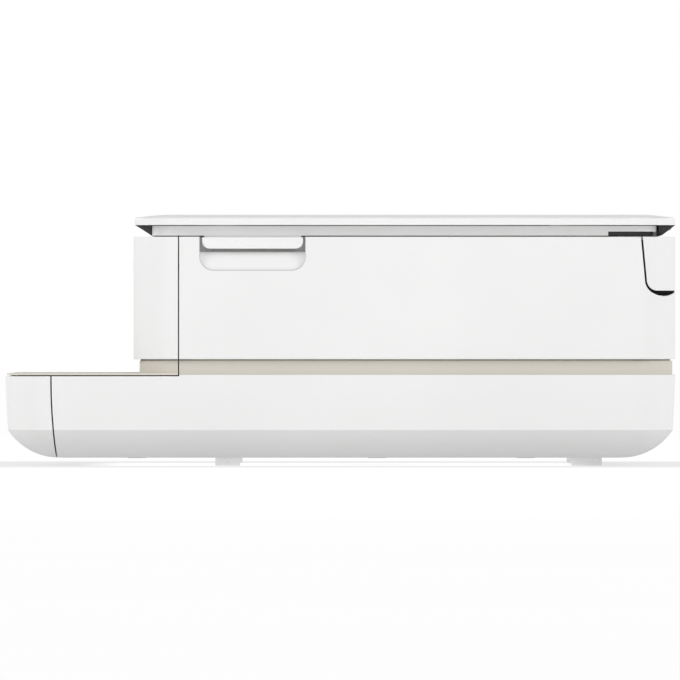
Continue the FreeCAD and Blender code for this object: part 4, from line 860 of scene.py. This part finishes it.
# ---------------------------------------------------------------- floor, light, camera
FLOOR_SIZE = 60             # side of the square floor, in metres
FLOOR_TONE = 0.22           # part of the light on it that the floor gives back
FLOOR_GLOW = 0.86           # the floor's own glow, as of a light table, which keeps shadows pale
FLOOR_SHADE = 0.65          # that glow under the printer's rim, lowered there to paint a soft contact shadow
SHADE_INSET = 0.06          # the painted shadow starts this far inside the printer's outline, in metres
SHADE_REACH = 0.26          # and has faded this far outside it
FLOOR_BOUNCE = 0.85         # part of the glow that also lights the printer
HORIZON, ZENITH = 0.87, 0.42    # soft light that the object gets from its own level and from above
LAMPS = {                   # place in metres, diameter in metres and power in watts
    "front_key_light": ((1.3, -2.2, 1.0), 1.2, 23),
    "front_far_light": ((-1.7, -1.7, 1.2), 1.4, 8),
    "rear_key_light": ((1.3, 2.2, 1.0), 1.2, 23),
    "rear_far_light": ((-1.7, 1.7, 1.2), 1.4, 8),
    "side_light": ((2.8, 0, 0.2), 1.0, 7.5),
    "high_light": ((1.8, 0, 2.0), 1.2, 4.5),
}
LAMPS_AIM = (0, 0, 0.07)
KEY_LAMPS = ("front_key_light", "rear_key_light")


def plain_floor():
    """Pale glowing floor, with a painted contact shadow: its glow is a little lower round the printer's foot.
    """
    bpy.ops.mesh.primitive_grid_add(x_subdivisions=8, y_subdivisions=8, size=FLOOR_SIZE, location=(0, 0, 0))
    floor = bpy.context.object
    floor.name = "studio_floor"
    s = Shader("pale_floor", (FLOOR_TONE,) * 3, 0.9, specular=0.0)
    s.colour(s.ramp(s.noise(0.5, 2.0), [(0.3, (FLOOR_TONE * 0.97,) * 3), (0.7, (FLOOR_TONE * 1.03,) * 3)]))
    outside = []
    for axis, half in (("X", HIGH.x - SHADE_INSET), ("Y", HIGH.y - SHADE_INSET)):
        from_middle = s.math("ABSOLUTE", s.coordinate(axis))
        outside.append(s.math("MAXIMUM", s.math("SUBTRACT", from_middle, half), 0.0))
    away = s.math("SQRT", s.math("ADD", *[s.math("MULTIPLY", d, d) for d in outside]))
    # painted contact shadow: the glow drops near the printer's outline and rises again away from it
    inner = s.spread(away, 0.0, SHADE_INSET * 0.4, FLOOR_GLOW, FLOOR_SHADE)
    outer = s.spread(away, SHADE_INSET, SHADE_INSET + SHADE_REACH, FLOOR_SHADE, FLOOR_GLOW)
    path = s.add("ShaderNodeLightPath")
    seen = s.spread(path.outputs["Is Camera Ray"], 0.0, 1.0, FLOOR_BOUNCE, 1.0)
    glow = s.math("MULTIPLY", s.math("MAXIMUM", inner, outer), seen)
    s.surface.inputs["Emission Color"].default_value = (1, 1, 1, 1)
    s.link(glow, s.surface, "Emission Strength")
    floor.data.materials.append(s.material)


def soft_light(name, place, size, power):
    """Round lamp aimed at the printer. The key lamps give no mirror image on the glossy lid."""
    data = bpy.data.lights.new(name, "AREA")
    data.shape = "DISK"
    data.size = size
    data.energy = power
    lamp = bpy.data.objects.new(name, data)
    lamp.location = place
    lamp.rotation_euler = (Vector(LAMPS_AIM) - Vector(place)).to_track_quat("-Z", "Y").to_euler()
    lamp.visible_glossy = name not in KEY_LAMPS
    bpy.context.scene.collection.objects.link(lamp)


def studio():
    """White surroundings, whose light on the object is softer from above, and large lamps."""
    world = bpy.data.worlds.new("studio_world")
    world.use_nodes = True
    tree = world.node_tree
    place = tree.nodes.new("ShaderNodeTexCoord")
    split = tree.nodes.new("ShaderNodeSeparateXYZ")
    sky = tree.nodes.new("ShaderNodeMapRange")
    path = tree.nodes.new("ShaderNodeLightPath")
    strength = tree.nodes.new("ShaderNodeMapRange")
    for index, number in enumerate((0.0, 1.0, HORIZON, ZENITH), start=1):
        sky.inputs[index].default_value = number
    background = tree.nodes["Background"]
    background.inputs["Color"].default_value = (1, 1, 1, 1)
    tree.links.new(place.outputs["Generated"], split.inputs[0])
    tree.links.new(split.outputs["Z"], sky.inputs[0])
    tree.links.new(path.outputs["Is Camera Ray"], strength.inputs[0])
    tree.links.new(sky.outputs[0], strength.inputs[3])
    strength.inputs[4].default_value = 1.0
    tree.links.new(strength.outputs[0], background.inputs["Strength"])
    bpy.context.scene.world = world
    bpy.context.scene.view_settings.view_transform = "Standard"
    for name, (spot, size, power) in LAMPS.items():
        soft_light(name, spot, size, power)


CAMERA_LENS = 1200.0        # long enough that the view is almost without perspective
SENSOR = 36.0
CAMERA_SIGHT = 100          # how far the camera sees, in metres
VIEW_WIDTH = 365.9 * MM     # what the picture's width covers at the printer's right side
VIEW_Y = -0.2 * MM          # picture's centre along the printer's depth
VIEW_HEIGHT = 68.1 * MM     # height of the picture's centre above the floor


def side_camera():
    """Camera straight out from the printer's right side."""
    data = bpy.data.cameras.new("camera")
    data.lens = CAMERA_LENS
    data.sensor_width = SENSOR
    data.clip_end = CAMERA_SIGHT
    camera = bpy.data.objects.new("camera", data)
    distance = VIEW_WIDTH * CAMERA_LENS / SENSOR
    camera.location = (HIGH.x + distance, VIEW_Y, VIEW_HEIGHT)
    camera.rotation_euler = (math.pi / 2, 0, math.pi / 2)
    bpy.context.scene.collection.objects.link(camera)
    bpy.context.scene.camera = camera


def add_pieces():
    """Makes every detail piece, in the CAD nodes' own materials where it is moulded in one with them."""
    # the base's material is the slightly lightened white, so these pieces carry its painted light too
    casing = NODES["base_housing"].data.materials[0]
    shade = NODES["scanner_tub"].data.materials[0]
    acetal = NODES["guide_pinion"].data.materials[0]
    zinc = NODES["case_screws"].data.materials[0]
    # the plate's lightened beige, which carries its painted light
    beige = NODES["output_plate"].data.materials[0]
    soft_grey = rubber("bumper_rubber", (0.5, 0.5, 0.49), 0.7)
    mark_white = moulded("print_white", (0.72, 0.73, 0.74), 0.5, drift=0.06)
    mark_grey = moulded("print_grey", (0.2, 0.2, 0.205), 0.55, drift=0.1)
    label = moulded("label_foil", (0.5, 0.51, 0.52), 0.35, drift=0.05)
    paper = moulded("label_paper", (0.74, 0.74, 0.72), 0.55, drift=0.03)
    panel_pictograms(mark_white)
    button_pictograms(mark_white)
    rear_fittings(casing, label, mark_grey)
    outside_screws(zinc)
    # a darker copy of the casing white, which paints the shade along the finger pocket's rim
    pocket_shade_lines(moulded("pocket_painted_shade", tint(WHITE, 0.68), 0.5))
    underside(casing, label)
    lid_bumpers(soft_grey)
    bed_scales(mark_grey, paper)
    tub_underside(shade, zinc)
    tray_marks(mark_white)
    friction_pad(cork_sheet())
    guide_grips(acetal)
    extender_arrow(beige)
    inks = [moulded("ink_" + name, tone, 0.4, drift=0.06) for name, tone in
            (("cyan", (0.02, 0.3, 0.5)), ("magenta", (0.5, 0.05, 0.2)), ("yellow", (0.72, 0.55, 0.05)))]
    cartridge_labels(paper, inks, mark_grey)
    board_parts(moulded("chip_resin", BLACK, 0.5, drift=0.2),
                ground_steel("tinned_leads", (1, 8, 1), (0.62, 0.62, 0.6)),
                moulded("ceramic_tan", (0.42, 0.33, 0.22), 0.45, drift=0.15))


side_camera()
studio()
plain_floor()
paint_cad()
add_pieces()
